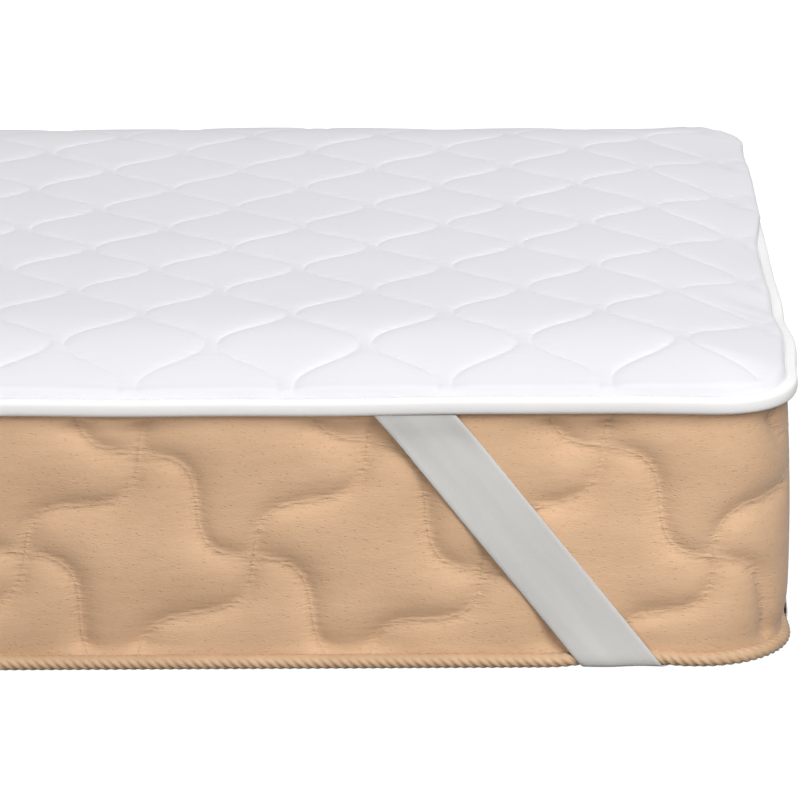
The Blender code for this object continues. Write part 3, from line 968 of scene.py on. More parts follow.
# %% The stitching tree
def stitching_tree():
    tree, given, wanted = new_group(
        "sewn_stitches",
        "GeometryNodeTree",
        {
            "Lines": ("NodeSocketGeometry", None),
            "Pitch": (NUMBER, 0.005),
            "Length": (NUMBER, 0.004),
            "Thickness": (NUMBER, 0.0006),
            "Lean": (NUMBER, 0.0),
            "Thread": ("NodeSocketMaterial", None),
        },
        {"Stitches": "NodeSocketGeometry"},
    )
    curves = add_node(tree, "GeometryNodeMeshToCurve", {0: given["Lines"]})
    cut = add_node(tree, "GeometryNodeResampleCurve", {"Curve": curves.outputs[0]}, mode="LENGTH")
    tree.links.new(given["Pitch"], cut.inputs["Length"])
    grain = add_node(tree, "GeometryNodeMeshUVSphere", {"Segments": 5, "Rings": 3, "Radius": 0.5})
    thickness = given["Thickness"]
    size = add_node(tree, "ShaderNodeCombineXYZ", {0: given["Length"], 1: thickness, 2: thickness})
    grains = add_node(
        tree,
        "GeometryNodeInstanceOnPoints",
        {
            "Points": cut.outputs[0],
            "Instance": grain.outputs[0],
            "Rotation": stitch_rotation(tree, given["Lean"]),
            "Scale": size.outputs[0],
        },
    )
    finish_tree(tree, grains.outputs[0], given["Thread"], wanted[0])
    return tree


SEWN_STITCHES = stitching_tree()
print("tree:", SEWN_STITCHES.name)

# %% [markdown]
# A tree works as a modifier on an object. Its inputs are set by the identifiers of their
# sockets, before the object is first evaluated. The evaluated result is then kept as a plain
# mesh, and the modifier goes.

# %% Running a tree
def run_tree(name, mesh, tree, values):
    """Runs a tree on a mesh and keeps the result as a plain mesh. Inputs are set by identifier."""
    piece = bpy.data.objects.new(name, mesh)
    bpy.context.scene.collection.objects.link(piece)
    modifier = piece.modifiers.new("nodes", "NODES")
    modifier.node_group = tree
    for item in tree.interface.items_tree:
        if item.item_type == "SOCKET" and item.in_out == "INPUT" and item.name in values:
            modifier[item.identifier] = values[item.name]
    evaluated = piece.evaluated_get(bpy.context.evaluated_depsgraph_get())
    result = bpy.data.meshes.new_from_object(evaluated)
    piece.modifiers.remove(modifier)
    piece.data = result
    return piece


def lines_mesh(name, lines, facings):
    """Bare edges along each line, with the direction in which the cloth faces."""
    mesh = bpy.data.meshes.new(name)
    edges, start = [], 0
    for line in lines:
        edges += [(k, k + 1) for k in range(start, start + len(line) - 1)]
        start += len(line)
    mesh.from_pydata(np.concatenate(lines), edges, [])
    facing = mesh.attributes.new("facing", "FLOAT_VECTOR", "POINT")
    facing.data.foreach_set("vector", np.concatenate(facings).astype(np.float32).ravel())
    return mesh


print("ready to sew")

# %% [markdown]
# Sewing thread is smooth and a little glossy. It has no UV map of its own, so its faint
# change of shade is read from Object coordinates, which are metres in the bed's frame.

# %% Threads
def thread(name, dark, light):
    made = bpy.data.materials.new(name)
    made.use_nodes = True
    tree = made.node_tree
    shader = tree.nodes["Principled BSDF"]
    shader.inputs["Roughness"].default_value = 0.5
    shader.inputs["Sheen Weight"].default_value = 0.2
    place = add_node(tree, "ShaderNodeTexCoord").outputs["Object"]
    nap = use_group(tree, SOFT_NAP, {"Cloth": place, "Fibre": 0.0004, "Lump": 0.001, "Cloud": 0.004})
    tree.links.new(tinted(tree, nap["Shade"], dark, light), shader.inputs["Base Color"])
    bumped(tree, shader, (nap["Height"], 0.0001))
    return made


WHITE_THREAD = thread("white_thread", dark=(0.78, 0.77, 0.80), light=(0.90, 0.89, 0.91))
print("material:", WHITE_THREAD.name)

# %% [markdown]
# The quilting is sewn in the same seams as the grid was made from. Each seam is a line of
# places at the height of the cloth there, cut off where the tape covers it.

# %% Quilting stitches
LINE_STEP = 0.006
TAPE_COVERS = 0.002  # past the lip of the pad
QUILTING_STITCH = {"Pitch": 0.0056, "Length": 0.0044, "Thickness": 0.0004, "Lean": 0.0}
UP = np.array([0.0, 0.0, 1.0])


def stretches(places, kept):
    """The unbroken stretches of a line where its places are kept."""
    cuts = np.flatnonzero(np.diff(kept.astype(int))) + 1
    parts = np.split(np.arange(len(places)), cuts)
    return [places[part] for part in parts if kept[part[0]] and len(part) > 2]


def seam_paths():
    """Lines along every seam of the pad, as far as the tape."""
    paths = []
    y = np.arange(-TOPPER_WIDTH / 2, TOPPER_WIDTH / 2, LINE_STEP)
    for number in SEAM_NUMBERS:
        whole = np.column_stack([seam_x(number, y), y])
        for run in stretches(whole, rim_distance(*whole.T) > PAD_LIP + TAPE_COVERS):
            on_seam = np.zeros(len(run))
            paths.append(shifted(raised(run, pad_heights(*run.T, on_seam, on_seam))))
    return paths


paths = seam_paths()
lines = lines_mesh("quilting_lines", paths, [np.tile(UP, (len(path), 1)) for path in paths])
quilting = run_tree(
    "quilting_stitches", lines, SEWN_STITCHES, {**QUILTING_STITCH, "Thread": WHITE_THREAD}
)
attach(quilting, "root")
report(quilting)

# %% [markdown]
# The tape is held by one row of straight stitches near its inner edge. The same tree sews it.

# %% Stitches on the tape
TAPE_SEAM = 0.0082
TAPE_STITCH = {"Pitch": 0.0036, "Length": 0.0029, "Thickness": 0.0006, "Lean": 0.0}


def tape_path():
    inset = rim_places - TAPE_SEAM * rim_outward
    path = shifted(raised(inset, TAPE_MIDDLE + TAPE_HALF))
    return np.concatenate([path, path[:1]])


path = tape_path()
lines = lines_mesh("tape_line", [path], [np.tile(UP, (len(path), 1))])
tape_stitches = run_tree(
    "rim_tape_stitches", lines, SEWN_STITCHES, {**TAPE_STITCH, "Thread": WHITE_THREAD}
)
for piece in (tape, tape_stitches):
    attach(piece, "root")
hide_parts("topper_binding")
report(tape_stitches)

# %% [markdown]
# ## The mattress
#
# Everything on its side is placed by two numbers: the height, and the distance along the
# rounded outline. The outline is a closed path, so distances along it are compared the short
# way round. They are measured from one crossing of the quilting on the front.

# %% The mattress's outline
COVER_SPACING = 0.0040
SIDE_NODE_X = 0.7644

cover_places, cover_outward = outline(MATTRESS_LENGTH, MATTRESS_WIDTH, MATTRESS_BEND, COVER_SPACING)
cover_along, COVER_LENGTH = walked_along(cover_places)
cover_along = cover_along - COVER_LENGTH / 2 + MATTRESS_LENGTH / 2 - MATTRESS_BEND - SIDE_NODE_X

corner_arc = MATTRESS_BEND * math.pi / 2
sides = [(MATTRESS_LENGTH, MATTRESS_WIDTH)[k % 2] - 2 * MATTRESS_BEND for k in range(1, 4)]
steps_between = np.cumsum([0.0] + [corner_arc + side for side in sides])
CORNER_MIDDLES = cover_along[0] + corner_arc / 2 + steps_between
# the middle of a corner's arc lies this much less far along than the corner of a square would
CORNER_TO_MIDDLE = MATTRESS_BEND - corner_arc / 2


def around_bed(along, place):
    """How far a place along the side is from another, the short way round."""
    return (along - place + COVER_LENGTH / 2) % COVER_LENGTH - COVER_LENGTH / 2


print(f"{COVER_LENGTH:.2f} m round the side")

# %% [markdown]
# The sides are quilted too, in large diamonds whose edges curl like an S. Two families of
# curved lines cross each other. Each family is a plain grid of slanted lines that was bent
# with a sine wave, and the same two formulas give the depth at any place and the paths of the
# stitches. A slow drift and a table of shifts make the pattern as uneven as sewn cloth is.

# %% Curled diamonds
SIDE_REPEATS = 31
SIDE_DIAMOND_HEIGHT = 0.176
SIDE_NODE_Z = 0.088
SIDE_CURL = 0.127
HALF_WIDTH = COVER_LENGTH / SIDE_REPEATS / 2
HALF_HEIGHT = SIDE_DIAMOND_HEIGHT / 2
PATTERN_DRIFT = 0.0015
# (waves round the bed, phase) of the drift along and of the drift up
DRIFT_ALONG = ((7, 1.0), (19, 0.0))
DRIFT_UP = ((9, 2.0), (23, 0.0))
# (x, height, shift along, shift up) of crossings on the front that lie off the even pattern
SIDE_SHIFTS = (
    (0.407, 0.096, 0.009, 0.008),
    (0.495, 0.175, 0.005, -0.001),
    (0.581, 0.088, 0.000, 0.000),
    (0.672, 0.183, 0.000, 0.007),
    (0.758, 0.077, -0.006, -0.011),
    (0.850, 0.177, -0.006, 0.001),
    (0.939, 0.090, -0.0085, 0.002),
)
SHIFT_REACH = 0.070


def drift(along, waves):
    turn = 2 * math.pi * along / COVER_LENGTH
    return PATTERN_DRIFT * sum(np.sin(count * turn + phase) for count, phase in waves)


def pattern_shift(along, height):
    """How far the sewn pattern lies off the even one, along and up."""
    total_along, total_up = drift(along, DRIFT_ALONG), drift(along, DRIFT_UP)
    for x, z, shift_along, shift_up in SIDE_SHIFTS:
        away = around_bed(along, x - SIDE_NODE_X)
        strength = np.exp(-(away**2 + (height - z) ** 2) / SHIFT_REACH**2)
        total_along = total_along + shift_along * strength
        total_up = total_up + shift_up * strength
    return total_along, total_up


def family_counts(along, height):
    """How many seams of each family lie before a place. A whole number is on a seam."""
    shift_along, shift_up = pattern_shift(along, height)
    sideways = (along - shift_along) / HALF_WIDTH
    down = (SIDE_NODE_Z - height + shift_up) / HALF_HEIGHT
    u, v = (sideways + down) / 2, (down - sideways) / 2
    return u - SIDE_CURL * np.sin(2 * math.pi * v), v + SIDE_CURL * np.sin(2 * math.pi * u)


def from_side_seams(along, height):
    """The distance from the nearest seam of each family, plus on one side and minus on the other."""
    here = family_counts(along, height)
    further = family_counts(along + SMALL_STEP, height)
    higher = family_counts(along, height + SMALL_STEP)
    gaps = []
    for count, count_along, count_up in zip(here, further, higher):
        growth = np.hypot(count_along - count, count_up - count) / SMALL_STEP
        gaps.append(np.sin(math.pi * count) / (math.pi * growth))
    return gaps


print(f"{SIDE_REPEATS} diamonds, each {2 * HALF_WIDTH * 1000:.0f} mm wide")

# %% [markdown]
# Between the seams the cover bulges, and at a seam the thread holds it in. The relief isn't
# the same everywhere: a strap presses the cover flat in a slanted band, and beside each corner
# the cover is pulled taut round the bend.

# %% How deep the seams are
SIDE_SEAM_DEPTH = 0.0102
SIDE_TUCK = 0.0100  # the cover has risen by two thirds at this distance from a seam
SIDE_ROUNDING = 0.0012
CORNER_TAUT = 0.95
TAUT_FROM_CORNER = 0.085
TAUT_REACH = 0.055
STRAP_PRESS = 0.60
STRAP_BAND = 0.040
STRAP_AT_FOOT = 0.132  # where a strap crosses the foot, from the end of the bed
STRAP_SLOPE = 0.765


def pressed_flat(along, height):
    """How much of the relief is lost: under a strap and beside a corner, the cover is taut."""
    kept = 1.0
    for k, corner in enumerate(CORNER_MIDDLES):
        on_end = around_bed(along, corner + TAUT_FROM_CORNER * (-1) ** k)
        kept = kept * (1 - CORNER_TAUT * np.exp(-((on_end / TAUT_REACH) ** 4)))
        for way in (1, -1):
            from_end = STRAP_AT_FOOT + STRAP_SLOPE * height
            band = around_bed(along, corner + way * (from_end - CORNER_TO_MIDDLE))
            kept = kept * (1 - STRAP_PRESS * np.exp(-((band / STRAP_BAND) ** 4)))
    return 1 - kept


def side_inset(along, height):
    """How deep the cover lies inside its fullest outline."""
    rise = 1.0
    for gap in from_side_seams(along, height):
        soft = np.hypot(gap, SIDE_ROUNDING) - SIDE_ROUNDING
        rise = rise * (1 - np.exp(-soft / SIDE_TUCK))
    return SIDE_SEAM_DEPTH * (1 - rise) * (1 - pressed_flat(along, height))


print(f"seams {SIDE_SEAM_DEPTH * 1000:.1f} mm deep, and flatter under the straps")

# %% [markdown]
# The whole side is a little fuller half way up than at its foot and shoulder. The last stretch
# turns in to the foot, and more so at the corners, where the straps pull the foot inwards.

# %% How full the side is
FOOT = 0.0090
SHOULDER_START = 0.200
SIDE_FULLNESS = 0.0022
FOOT_TUCK = 0.0030
FOOT_TUCK_FROM = 0.050
CORNER_IN = 0.0015
CORNER_IN_REACH = 0.070
CORNER_IN_FROM = 0.110


def corner_in(along):
    """How far the foot is drawn in at the corners."""
    away = np.min([np.abs(around_bed(along, corner)) for corner in CORNER_MIDDLES], axis=0)
    return CORNER_IN * np.exp(-((away / CORNER_IN_REACH) ** 2))


def side_fullness(along, height):
    """How far the filling pushes the whole side out. The last stretch turns in to the foot."""
    middle = (FOOT + SHOULDER_START) / 2
    away = (height - middle) / (SHOULDER_START - middle)
    full = SIDE_FULLNESS * np.clip(1 - away**4, 0, 1)
    tucked = np.clip((FOOT_TUCK_FROM - height) / (FOOT_TUCK_FROM - FOOT), 0, 1)
    low = np.clip((CORNER_IN_FROM - height) / CORNER_IN_FROM, 0, 1)
    return full - FOOT_TUCK * tucked**2 - corner_in(along) * low**2


print(f"{SIDE_FULLNESS * 1000:.1f} mm fuller half way up")

# %% [markdown]
# The cover is a soft knitted cloth. From near it has a fine mesh of loops and a sprinkling of
# tiny pits where the knitting needles cross the filling. Cells of a Voronoi texture place the pits:
# only the middle of each cell is low, and it is painted a little darker as painted shade in the pit.

# %% Mattress cloth
PIT_SPACING = 0.0062
PIT_SQUASH = 1.9  # the pits are wider than they are high
PIT_RADIUS = 0.25  # as a share of a cell


def needle_pits(tree, cloth):
    """A mask that is 1 in small dashes scattered over the cloth."""
    parts = add_node(tree, "ShaderNodeSeparateXYZ", {0: cloth})
    squashed = maths(tree, "MULTIPLY", parts.outputs[1], PIT_SQUASH)
    spot = add_node(tree, "ShaderNodeCombineXYZ", {0: parts.outputs[0], 1: squashed})
    sizes = {"Vector": spot.outputs[0], "Scale": 1 / PIT_SPACING}
    cells = add_node(tree, "ShaderNodeTexVoronoi", sizes)
    ramp = {"Value": cells.outputs["Distance"], "From Min": PIT_RADIUS, "From Max": 0.0}
    return add_node(tree, "ShaderNodeMapRange", ramp).outputs[0]


def nearest_seam(tree):
    """The distance from the nearest seam, from the two signed distances that the mesh carries."""
    gaps = add_node(tree, "ShaderNodeUVMap", uv_map="seams")
    parts = add_node(tree, "ShaderNodeSeparateXYZ", {0: gaps.outputs[0]})
    return maths(tree, "MINIMUM", *(maths(tree, "ABSOLUTE", parts.outputs[k]) for k in (0, 1)))


def mattress_cloth():
    made, tree, shader, cloth = cloth_material("tan_mattress_cloth", roughness=0.75, sheen=0.2)
    pitch = {"Along Pitch": 0.0011, "Across Pitch": 0.0008}
    threads = use_group(tree, CROSSING_THREADS, {"Cloth": cloth, **pitch})
    drawn = stretched(tree, cloth, 0.35)
    nap = use_group(tree, SOFT_NAP, {"Cloth": drawn, "Fibre": 0.0012, "Lump": 0.006, "Cloud": 0.05})
    sizes = {"Reach": 0.0045, "Pitch": 0.0034, "Stretch": 0.25}
    gap = nearest_seam(tree)
    puckers = use_group(tree, SEAM_PUCKERS, {"Cloth": cloth, "From Seam": gap, **sizes})
    pit_and_painted_shade = needle_pits(tree, cloth)
    mottled = maths(tree, "MULTIPLY_ADD", nap["Height"], 0.7, nap["Shade"])
    # The pits are painted darker too: painted shade in each pit, added to the nap's random tone.
    shade = maths(tree, "SUBTRACT", maths(tree, "MULTIPLY_ADD", pit_and_painted_shade, -0.45, mottled), 0.35)
    colour = tinted(tree, shade, dark=(0.49, 0.310, 0.182), light=(0.71, 0.465, 0.29))
    tree.links.new(colour, shader.inputs["Base Color"])
    relief = ((threads["Hill"], 0.00004), (nap["Height"], 0.0006), (puckers["Height"], 0.0024))
    bumped(tree, shader, *relief, (pit_and_painted_shade, -0.0003))
    return made


MATTRESS_CLOTH = mattress_cloth()
print("material:", MATTRESS_CLOTH.name)

# %% [markdown]
# The cover goes round the side from the foot to the shoulder under the topper. At the foot it
# rolls in to the seam where the edge cord is sewn on. The top and the underside are hidden, so
# their rings are plain, but the underside still gives way at the corners, where the straps
# pass beneath it.

# %% The profile of the side
FOOT_ROLL = 0.0036
SHOULDER_BEND = 0.0098
SHOULDER_TURN = math.radians(80)
SHOULDER_STEPS = 6
SIDE_ROW_SPACING = 0.0042
QUILTING_FADES = 0.012
QUILTING_TOP = SHOULDER_START + 0.006


def side_profile():
    """(inset, height) of the plain side, from the foot to the shoulder."""
    turns = np.linspace(0, math.pi / 2, 6)
    foot = [(FOOT_ROLL * (1 - math.sin(t)), FOOT + FOOT_ROLL * (1 - math.cos(t))) for t in turns]
    start = FOOT + FOOT_ROLL
    count = round((SHOULDER_START - start) / SIDE_ROW_SPACING)
    straight = [(0.0, start + (SHOULDER_START - start) * k / count) for k in range(1, count)]
    shoulder = []
    for t in np.linspace(0, SHOULDER_TURN, SHOULDER_STEPS):
        inset = SHOULDER_BEND * (1 - math.cos(t))
        shoulder.append((inset, SHOULDER_START + SHOULDER_BEND * math.sin(t)))
    return foot + straight + shoulder


def quilting_share(height):
    """How strongly the quilting shows at a height: it fades into the foot and the shoulder."""
    from_ends = np.minimum(height - FOOT, QUILTING_TOP - height)
    share = np.clip(from_ends / QUILTING_FADES, 0, 1)
    return share * share * (3 - 2 * share)


print(len(side_profile()), "rings up the side")

# %% [markdown]
# The cover is rings again: in from the middle of the underside to the rebate of the cord, up
# the side, and in under the topper. Each ring is paired with the distances from the seams.
# They become a second UV map, because they change from plus to minus at a seam, and so stay
# exact there even though a seam runs between the points of the mesh.

# %% The rings of the cover
# (inset, height) of the rebate that the cord lies in, from its top to the underside
CORD_REBATE = ((0.0070, FOOT), (0.0070, 0.0030), (0.0120, 0.0))
TOP_CLEARANCE = 0.0018
UNDERSIDE_INSETS = np.arange(0.108, 0.012, -0.012)
RECESS_HEIGHT = 0.0034
RECESS_REACH = 0.188
RECESS_RAMP = 0.012


def underside_lift(places):
    """How far the underside is pressed up over the straps, near each corner."""
    in_from_end = MATTRESS_LENGTH / 2 - np.abs(places[:, 0])
    in_from_side = MATTRESS_WIDTH / 2 - np.abs(places[:, 1])
    past = in_from_end + in_from_side - RECESS_REACH
    return RECESS_HEIGHT * np.clip(1 - past / RECESS_RAMP, 0, 1)


def drawn_cover(inset):
    """The cover's path, moved inwards, also past the bend of its corners."""
    if inset <= MATTRESS_BEND:
        return cover_places - inset * cover_outward
    limits = np.array([MATTRESS_LENGTH, MATTRESS_WIDTH]) / 2 - inset
    return np.clip(cover_places, -limits, limits)


def rings_below():
    rings = []
    for inset in UNDERSIDE_INSETS:
        places = drawn_cover(inset)
        rings.append(raised(places, underside_lift(places)))
    for inset, height in CORD_REBATE[::-1]:
        places = drawn_cover(inset) - corner_in(cover_along)[:, None] * cover_outward
        lift = underside_lift(places) if height < RECESS_HEIGHT else 0.0
        rings.append(raised(places, height + lift))
    return rings


def rings_of_side():
    rings = []
    for inset, height in side_profile():
        relief = quilting_share(height) * side_inset(cover_along, height)
        quilted = inset - side_fullness(cover_along, height) + relief
        rings.append(raised(cover_places - quilted[:, None] * cover_outward, height))
    return rings


def rings_above():
    rings = []
    for rim_inset in UNDERSIDE_RINGS:
        places = drawn_cover(rim_inset - OVERHANG)
        sag = np.minimum(0, rim_shift(*places.T)[1])
        height = seam_surface(*places.T) - PAD_THICKNESS - TOP_CLEARANCE + sag
        rings.append(raised(places, height))
    return rings


print(len(rings_below()) + len(rings_above()), "hidden rings")

# %% [markdown]
# The cover's path starts and ends at the back left corner. A face there reaches from the last
# point to the first, so its part of a UV map would run all the way back. Both maps are
# therefore carried on past the join. With an odd number of diamonds the two signs of the
# families change places once round the bed, so they are turned over there as well.

# %% The mattress cover
def mattress_cover():
    below, side, above = rings_below(), rings_of_side(), rings_above()
    rings = below + side + above
    count = len(cover_places)
    points = np.concatenate(rings)
    faces = ring_faces(len(rings), count).tolist()
    faces.append(list(range(count))[::-1])
    faces.append(list(range(len(points) - count, len(points))))
    cover = add_piece("mattress_cover", points, faces, MATTRESS_CLOTH)
    steps = [np.linalg.norm(after[0] - before[0]) for before, after in zip(rings, rings[1:])]
    run = np.tile(cover_along - cover_along[0], len(rings))
    across = np.repeat(np.concatenate([[0.0], np.cumsum(steps)]), count)
    cloth_map(cover.data, run, across, COVER_LENGTH)
    no_seams = np.full((count, 2), 1.0)
    seams = [np.column_stack(from_side_seams(cover_along, height)) for _, height in side_profile()]
    gaps = np.concatenate([no_seams] * len(below) + seams + [no_seams] * len(above))
    gap = gaps[corners_of(cover.data)]
    gap[past_the_join(cover.data, run, COVER_LENGTH)] *= (-1) ** SIDE_REPEATS
    face_map(cover.data, "seams", gap)
    tidy_mesh(cover.data)
    return cover


cover = mattress_cover()
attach(cover, "root")
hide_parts("mattress_body")
report(cover)

# %% [markdown]
# The seams of the side are sewn in zigzag. Each line of a family is found by walking along the
# other family's count, which the formula of the curl gives directly, and then every place is
# carried over from the flat cover to the bed's round outline.

# %% Zigzag stitches on the side
STITCH_PROUD = 0.0001
SEAM_SPAN = 1.6  # how many crossings each way a seam is followed, more than the side is high
SEAM_POINTS = 129
SIDE_STITCH = {"Pitch": 0.0033, "Length": 0.0046, "Thickness": 0.0005, "Lean": 1.25}


def on_the_side(along, height, proud):
    """Places on the cover's face, for distances along the bed and heights, and where it faces."""
    start = cover_along[0]
    wrapped = (along - start) % COVER_LENGTH
    path = np.concatenate([cover_places, cover_places[:1]])
    facing = np.concatenate([cover_outward, cover_outward[:1]])
    marks = np.concatenate([cover_along - start, [COVER_LENGTH]])
    place = np.column_stack([np.interp(wrapped, marks, path[:, k]) for k in (0, 1)])
    out = np.column_stack([np.interp(wrapped, marks, facing[:, k]) for k in (0, 1)])
    inset = quilting_share(height) * side_inset(along, height) - side_fullness(along, height) - proud
    spots = raised(place - inset[:, None] * out, height)
    return spots, raised(out, np.zeros(len(out)))


def sewn_place(along, height, rounds=4):
    """Where a place of the even pattern was really sewn. A few rounds are enough."""
    place_along, place_up = along, height
    for _ in range(rounds):
        shift_along, shift_up = pattern_shift(place_along, place_up)
        place_along, place_up = along + shift_along, height + shift_up
    return place_along, place_up


def side_seam_paths():
    """Both families of curved lines, cut off where the cover rolls into its foot and shoulder."""
    span = np.linspace(-SEAM_SPAN, SEAM_SPAN, SEAM_POINTS)
    paths, facings = [], []
    for number in range(SIDE_REPEATS):
        v = span - number
        first = number + SIDE_CURL * np.sin(2 * math.pi * v), v
        u = span - number
        second = u, number - SIDE_CURL * np.sin(2 * math.pi * u)
        for u, v in (first, second):
            along, height = sewn_place((u - v) * HALF_WIDTH, SIDE_NODE_Z - (u + v) * HALF_HEIGHT)
            inside = (height > FOOT + FOOT_ROLL / 2) & (height < SHOULDER_START)
            spots, facing = on_the_side(along[inside], height[inside], proud=STITCH_PROUD)
            paths.append(spots)
            facings.append(facing)
    return paths, facings


TAN_THREAD = thread("tan_thread", dark=(0.46, 0.295, 0.172), light=(0.63, 0.410, 0.252))
paths, facings = side_seam_paths()
lines = lines_mesh("side_lines", paths, facings)
side_stitches = run_tree(
    "side_stitches", lines, SEWN_STITCHES, {**SIDE_STITCH, "Thread": TAN_THREAD}
)
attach(side_stitches, "root")
report(side_stitches)

# %% [markdown]
# ## The twisted cord
#
# Five strands twisted together look like one round rope with five rounded lobes that wind
# round its middle. The tree sweeps such a profile along the foot and turns it by a tilt that
# grows with the distance. The path holds a whole number of turns, so that the last ring of
# points meets the first one where the path closes.

# %% The profile of the cord
STRANDS = 5
POINTS_A_STRAND = 4


def lobed_ring(tree, radius, groove):
    """A circle that is drawn in between the strands."""
    points = {"Resolution": POINTS_A_STRAND * STRANDS, "Radius": 1.0}
    ring = add_node(tree, "GeometryNodeCurvePrimitiveCircle", points, mode="RADIUS")
    position = add_node(tree, "GeometryNodeInputPosition").outputs[0]
    spot = add_node(tree, "ShaderNodeSeparateXYZ", {0: position}).outputs
    angle = maths(tree, "ARCTAN2", spot[1], spot[0])
    lobe = maths(tree, "ABSOLUTE", maths(tree, "COSINE", maths(tree, "MULTIPLY", angle, STRANDS / 2)))
    drawn = maths(tree, "MULTIPLY", maths(tree, "SUBTRACT", 1.0, lobe), groove)
    reach = maths(tree, "MULTIPLY", maths(tree, "SUBTRACT", 1.0, drawn), radius)
    moved = {0: position, "Scale": reach}
    scaled = add_node(tree, "ShaderNodeVectorMath", moved, operation="SCALE").outputs[0]
    shaped = {0: ring.outputs[0], "Position": scaled}
    return add_node(tree, "GeometryNodeSetPosition", shaped).outputs[0]


print(STRANDS, "strands")

# %% [markdown]
# The tree lays equal steps along the closed path and tilts each by its share of all the turns.
# Curve to Mesh then joins the profiles at the steps into one skin.

# %% The twisting tree
def twisting_tree():
    tree, given, wanted = new_group(
        "twisted_cord",
        "GeometryNodeTree",
        {
            "Path": ("NodeSocketGeometry", None),
            "Radius": (NUMBER, 0.006),
            "Groove": (NUMBER, 0.3),
            "Turns": (NUMBER, 10.0),
            "Steps": ("NodeSocketInt", 100),
            "Cloth": ("NodeSocketMaterial", None),
        },
        {"Cord": "NodeSocketGeometry"},
    )
    curve = add_node(tree, "GeometryNodeMeshToCurve", {0: given["Path"]})
    upright = add_node(tree, "GeometryNodeSetCurveNormal", {0: curve.outputs[0]}, mode="Z_UP")
    steps = {"Curve": upright.outputs[0], "Count": given["Steps"]}
    cut = add_node(tree, "GeometryNodeResampleCurve", steps, mode="COUNT")
    number = add_node(tree, "GeometryNodeInputIndex").outputs[0]
    share = maths(tree, "DIVIDE", number, given["Steps"])
    turn = maths(tree, "MULTIPLY", maths(tree, "MULTIPLY", share, given["Turns"]), 2 * math.pi)
    twisted = add_node(tree, "GeometryNodeSetCurveTilt", {"Curve": cut.outputs[0], "Tilt": turn})
    profile = lobed_ring(tree, given["Radius"], given["Groove"])
    sweep = {"Curve": twisted.outputs[0], "Profile Curve": profile}
    swept = add_node(tree, "GeometryNodeCurveToMesh", sweep)
    finish_tree(tree, swept.outputs[0], given["Cloth"], wanted[0])
    return tree


TWISTED_CORD = twisting_tree()
print("tree:", TWISTED_CORD.name)

# %% [markdown]
# The cord is spun from the same tan yarn as the cover, a little glossier, as a tight twist is.

# %% Cord cloth
def cord_cloth():
    made = bpy.data.materials.new("tan_cord")
    made.use_nodes = True
    tree = made.node_tree
    shader = tree.nodes["Principled BSDF"]
    shader.inputs["Roughness"].default_value = 0.6
    shader.inputs["Sheen Weight"].default_value = 0.25
    place = add_node(tree, "ShaderNodeTexCoord").outputs["Object"]
    nap = use_group(tree, SOFT_NAP, {"Cloth": place, "Fibre": 0.0005, "Lump": 0.002, "Cloud": 0.03})
    colour = tinted(tree, nap["Shade"], dark=(0.47, 0.298, 0.168), light=(0.63, 0.420, 0.255))
    tree.links.new(colour, shader.inputs["Base Color"])
    bumped(tree, shader, (nap["Height"], 0.0003))
    return made


CORD_CLOTH = cord_cloth()
print("material:", CORD_CLOTH.name)

# %% [markdown]
# The cord is sewn to the foot all the way round. Where a strap crosses it, the strap's pull
# lifts it and presses it inwards.

# %% The cord round the foot
CORD_RADIUS = 0.0060
CORD_GROOVE = 0.18
CORD_INSET = 0.0008
CORD_HEIGHT = 0.0066
CORD_LAY = 0.0360  # one full turn of a strand
STEPS_A_TURN = 16
CORD_LIFT = 0.0020
CORD_PRESS = 0.0030


def under_straps(along):
    """The share of a strap's pull: 1 where it goes round the foot, and 0 away from it."""
    share = 0.0
    for corner in CORNER_MIDDLES:
        for way in (1, -1):
            away = around_bed(along, corner + way * (STRAP_AT_FOOT - CORNER_TO_MIDDLE))
            share = share + np.exp(-((away / STRAP_BAND) ** 4))
    return share


def edge_cord():
    pull = under_straps(cover_along)
    inset = CORD_INSET + corner_in(cover_along) + CORD_PRESS * pull
    path = raised(cover_places - inset[:, None] * cover_outward, CORD_HEIGHT + CORD_LIFT * pull)
    turns = round(walked_along(path)[1] / CORD_LAY)
    mesh = bpy.data.meshes.new("cord_path")
    count = len(path)
    mesh.from_pydata(path, [(k, (k + 1) % count) for k in range(count)], [])
    values = {
        "Radius": CORD_RADIUS,
        "Groove": CORD_GROOVE,
        "Turns": turns,
        "Steps": turns * STEPS_A_TURN,
        "Cloth": CORD_CLOTH,
    }
    cord = run_tree("edge_cord", mesh, TWISTED_CORD, values)
    tidy_mesh(cord.data)
    return cord


cord = edge_cord()
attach(cord, "root")
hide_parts("mattress_edge_cord")
report(cord)

# %% [markdown]
# ## The elastic straps
#
# A strap is sewn under the rim, comes down the side at a slant, passes under the corner of the
# mattress and goes up the next side. Its fine ribs are in the bump, and a nap drawn out along
# the strap paints faint lengthwise light and dark bands into its colour: painted shading and
# painted sheen of the shallow folds in stretched elastic.

# %% Elastic cloth
def elastic_cloth():
    made, tree, shader, cloth = cloth_material("grey_elastic", roughness=0.55, sheen=0.15)
    pitch = {"Along Pitch": 0.0013, "Across Pitch": 0.0011}
    ribs = use_group(tree, CROSSING_THREADS, {"Cloth": cloth, **pitch})
    # Lengthwise bands of painted light and shade, drawn out along the strap from the nap's slow noise.
    painted_shade_bands = stretched(tree, cloth, 0.10)
    nap = use_group(tree, SOFT_NAP, {"Cloth": painted_shade_bands, "Fibre": 0.0010, "Lump": 0.005, "Cloud": 0.014})
    colour = tinted(tree, nap["Shade"], dark=(0.475, 0.465, 0.448), light=(0.60, 0.59, 0.575))
    tree.links.new(colour, shader.inputs["Base Color"])
    bumped(tree, shader, (ribs["Hill"], 0.00006), (nap["Height"], 0.0001))
    return made


GREY_ELASTIC = elastic_cloth()
print("material:", GREY_ELASTIC.name)

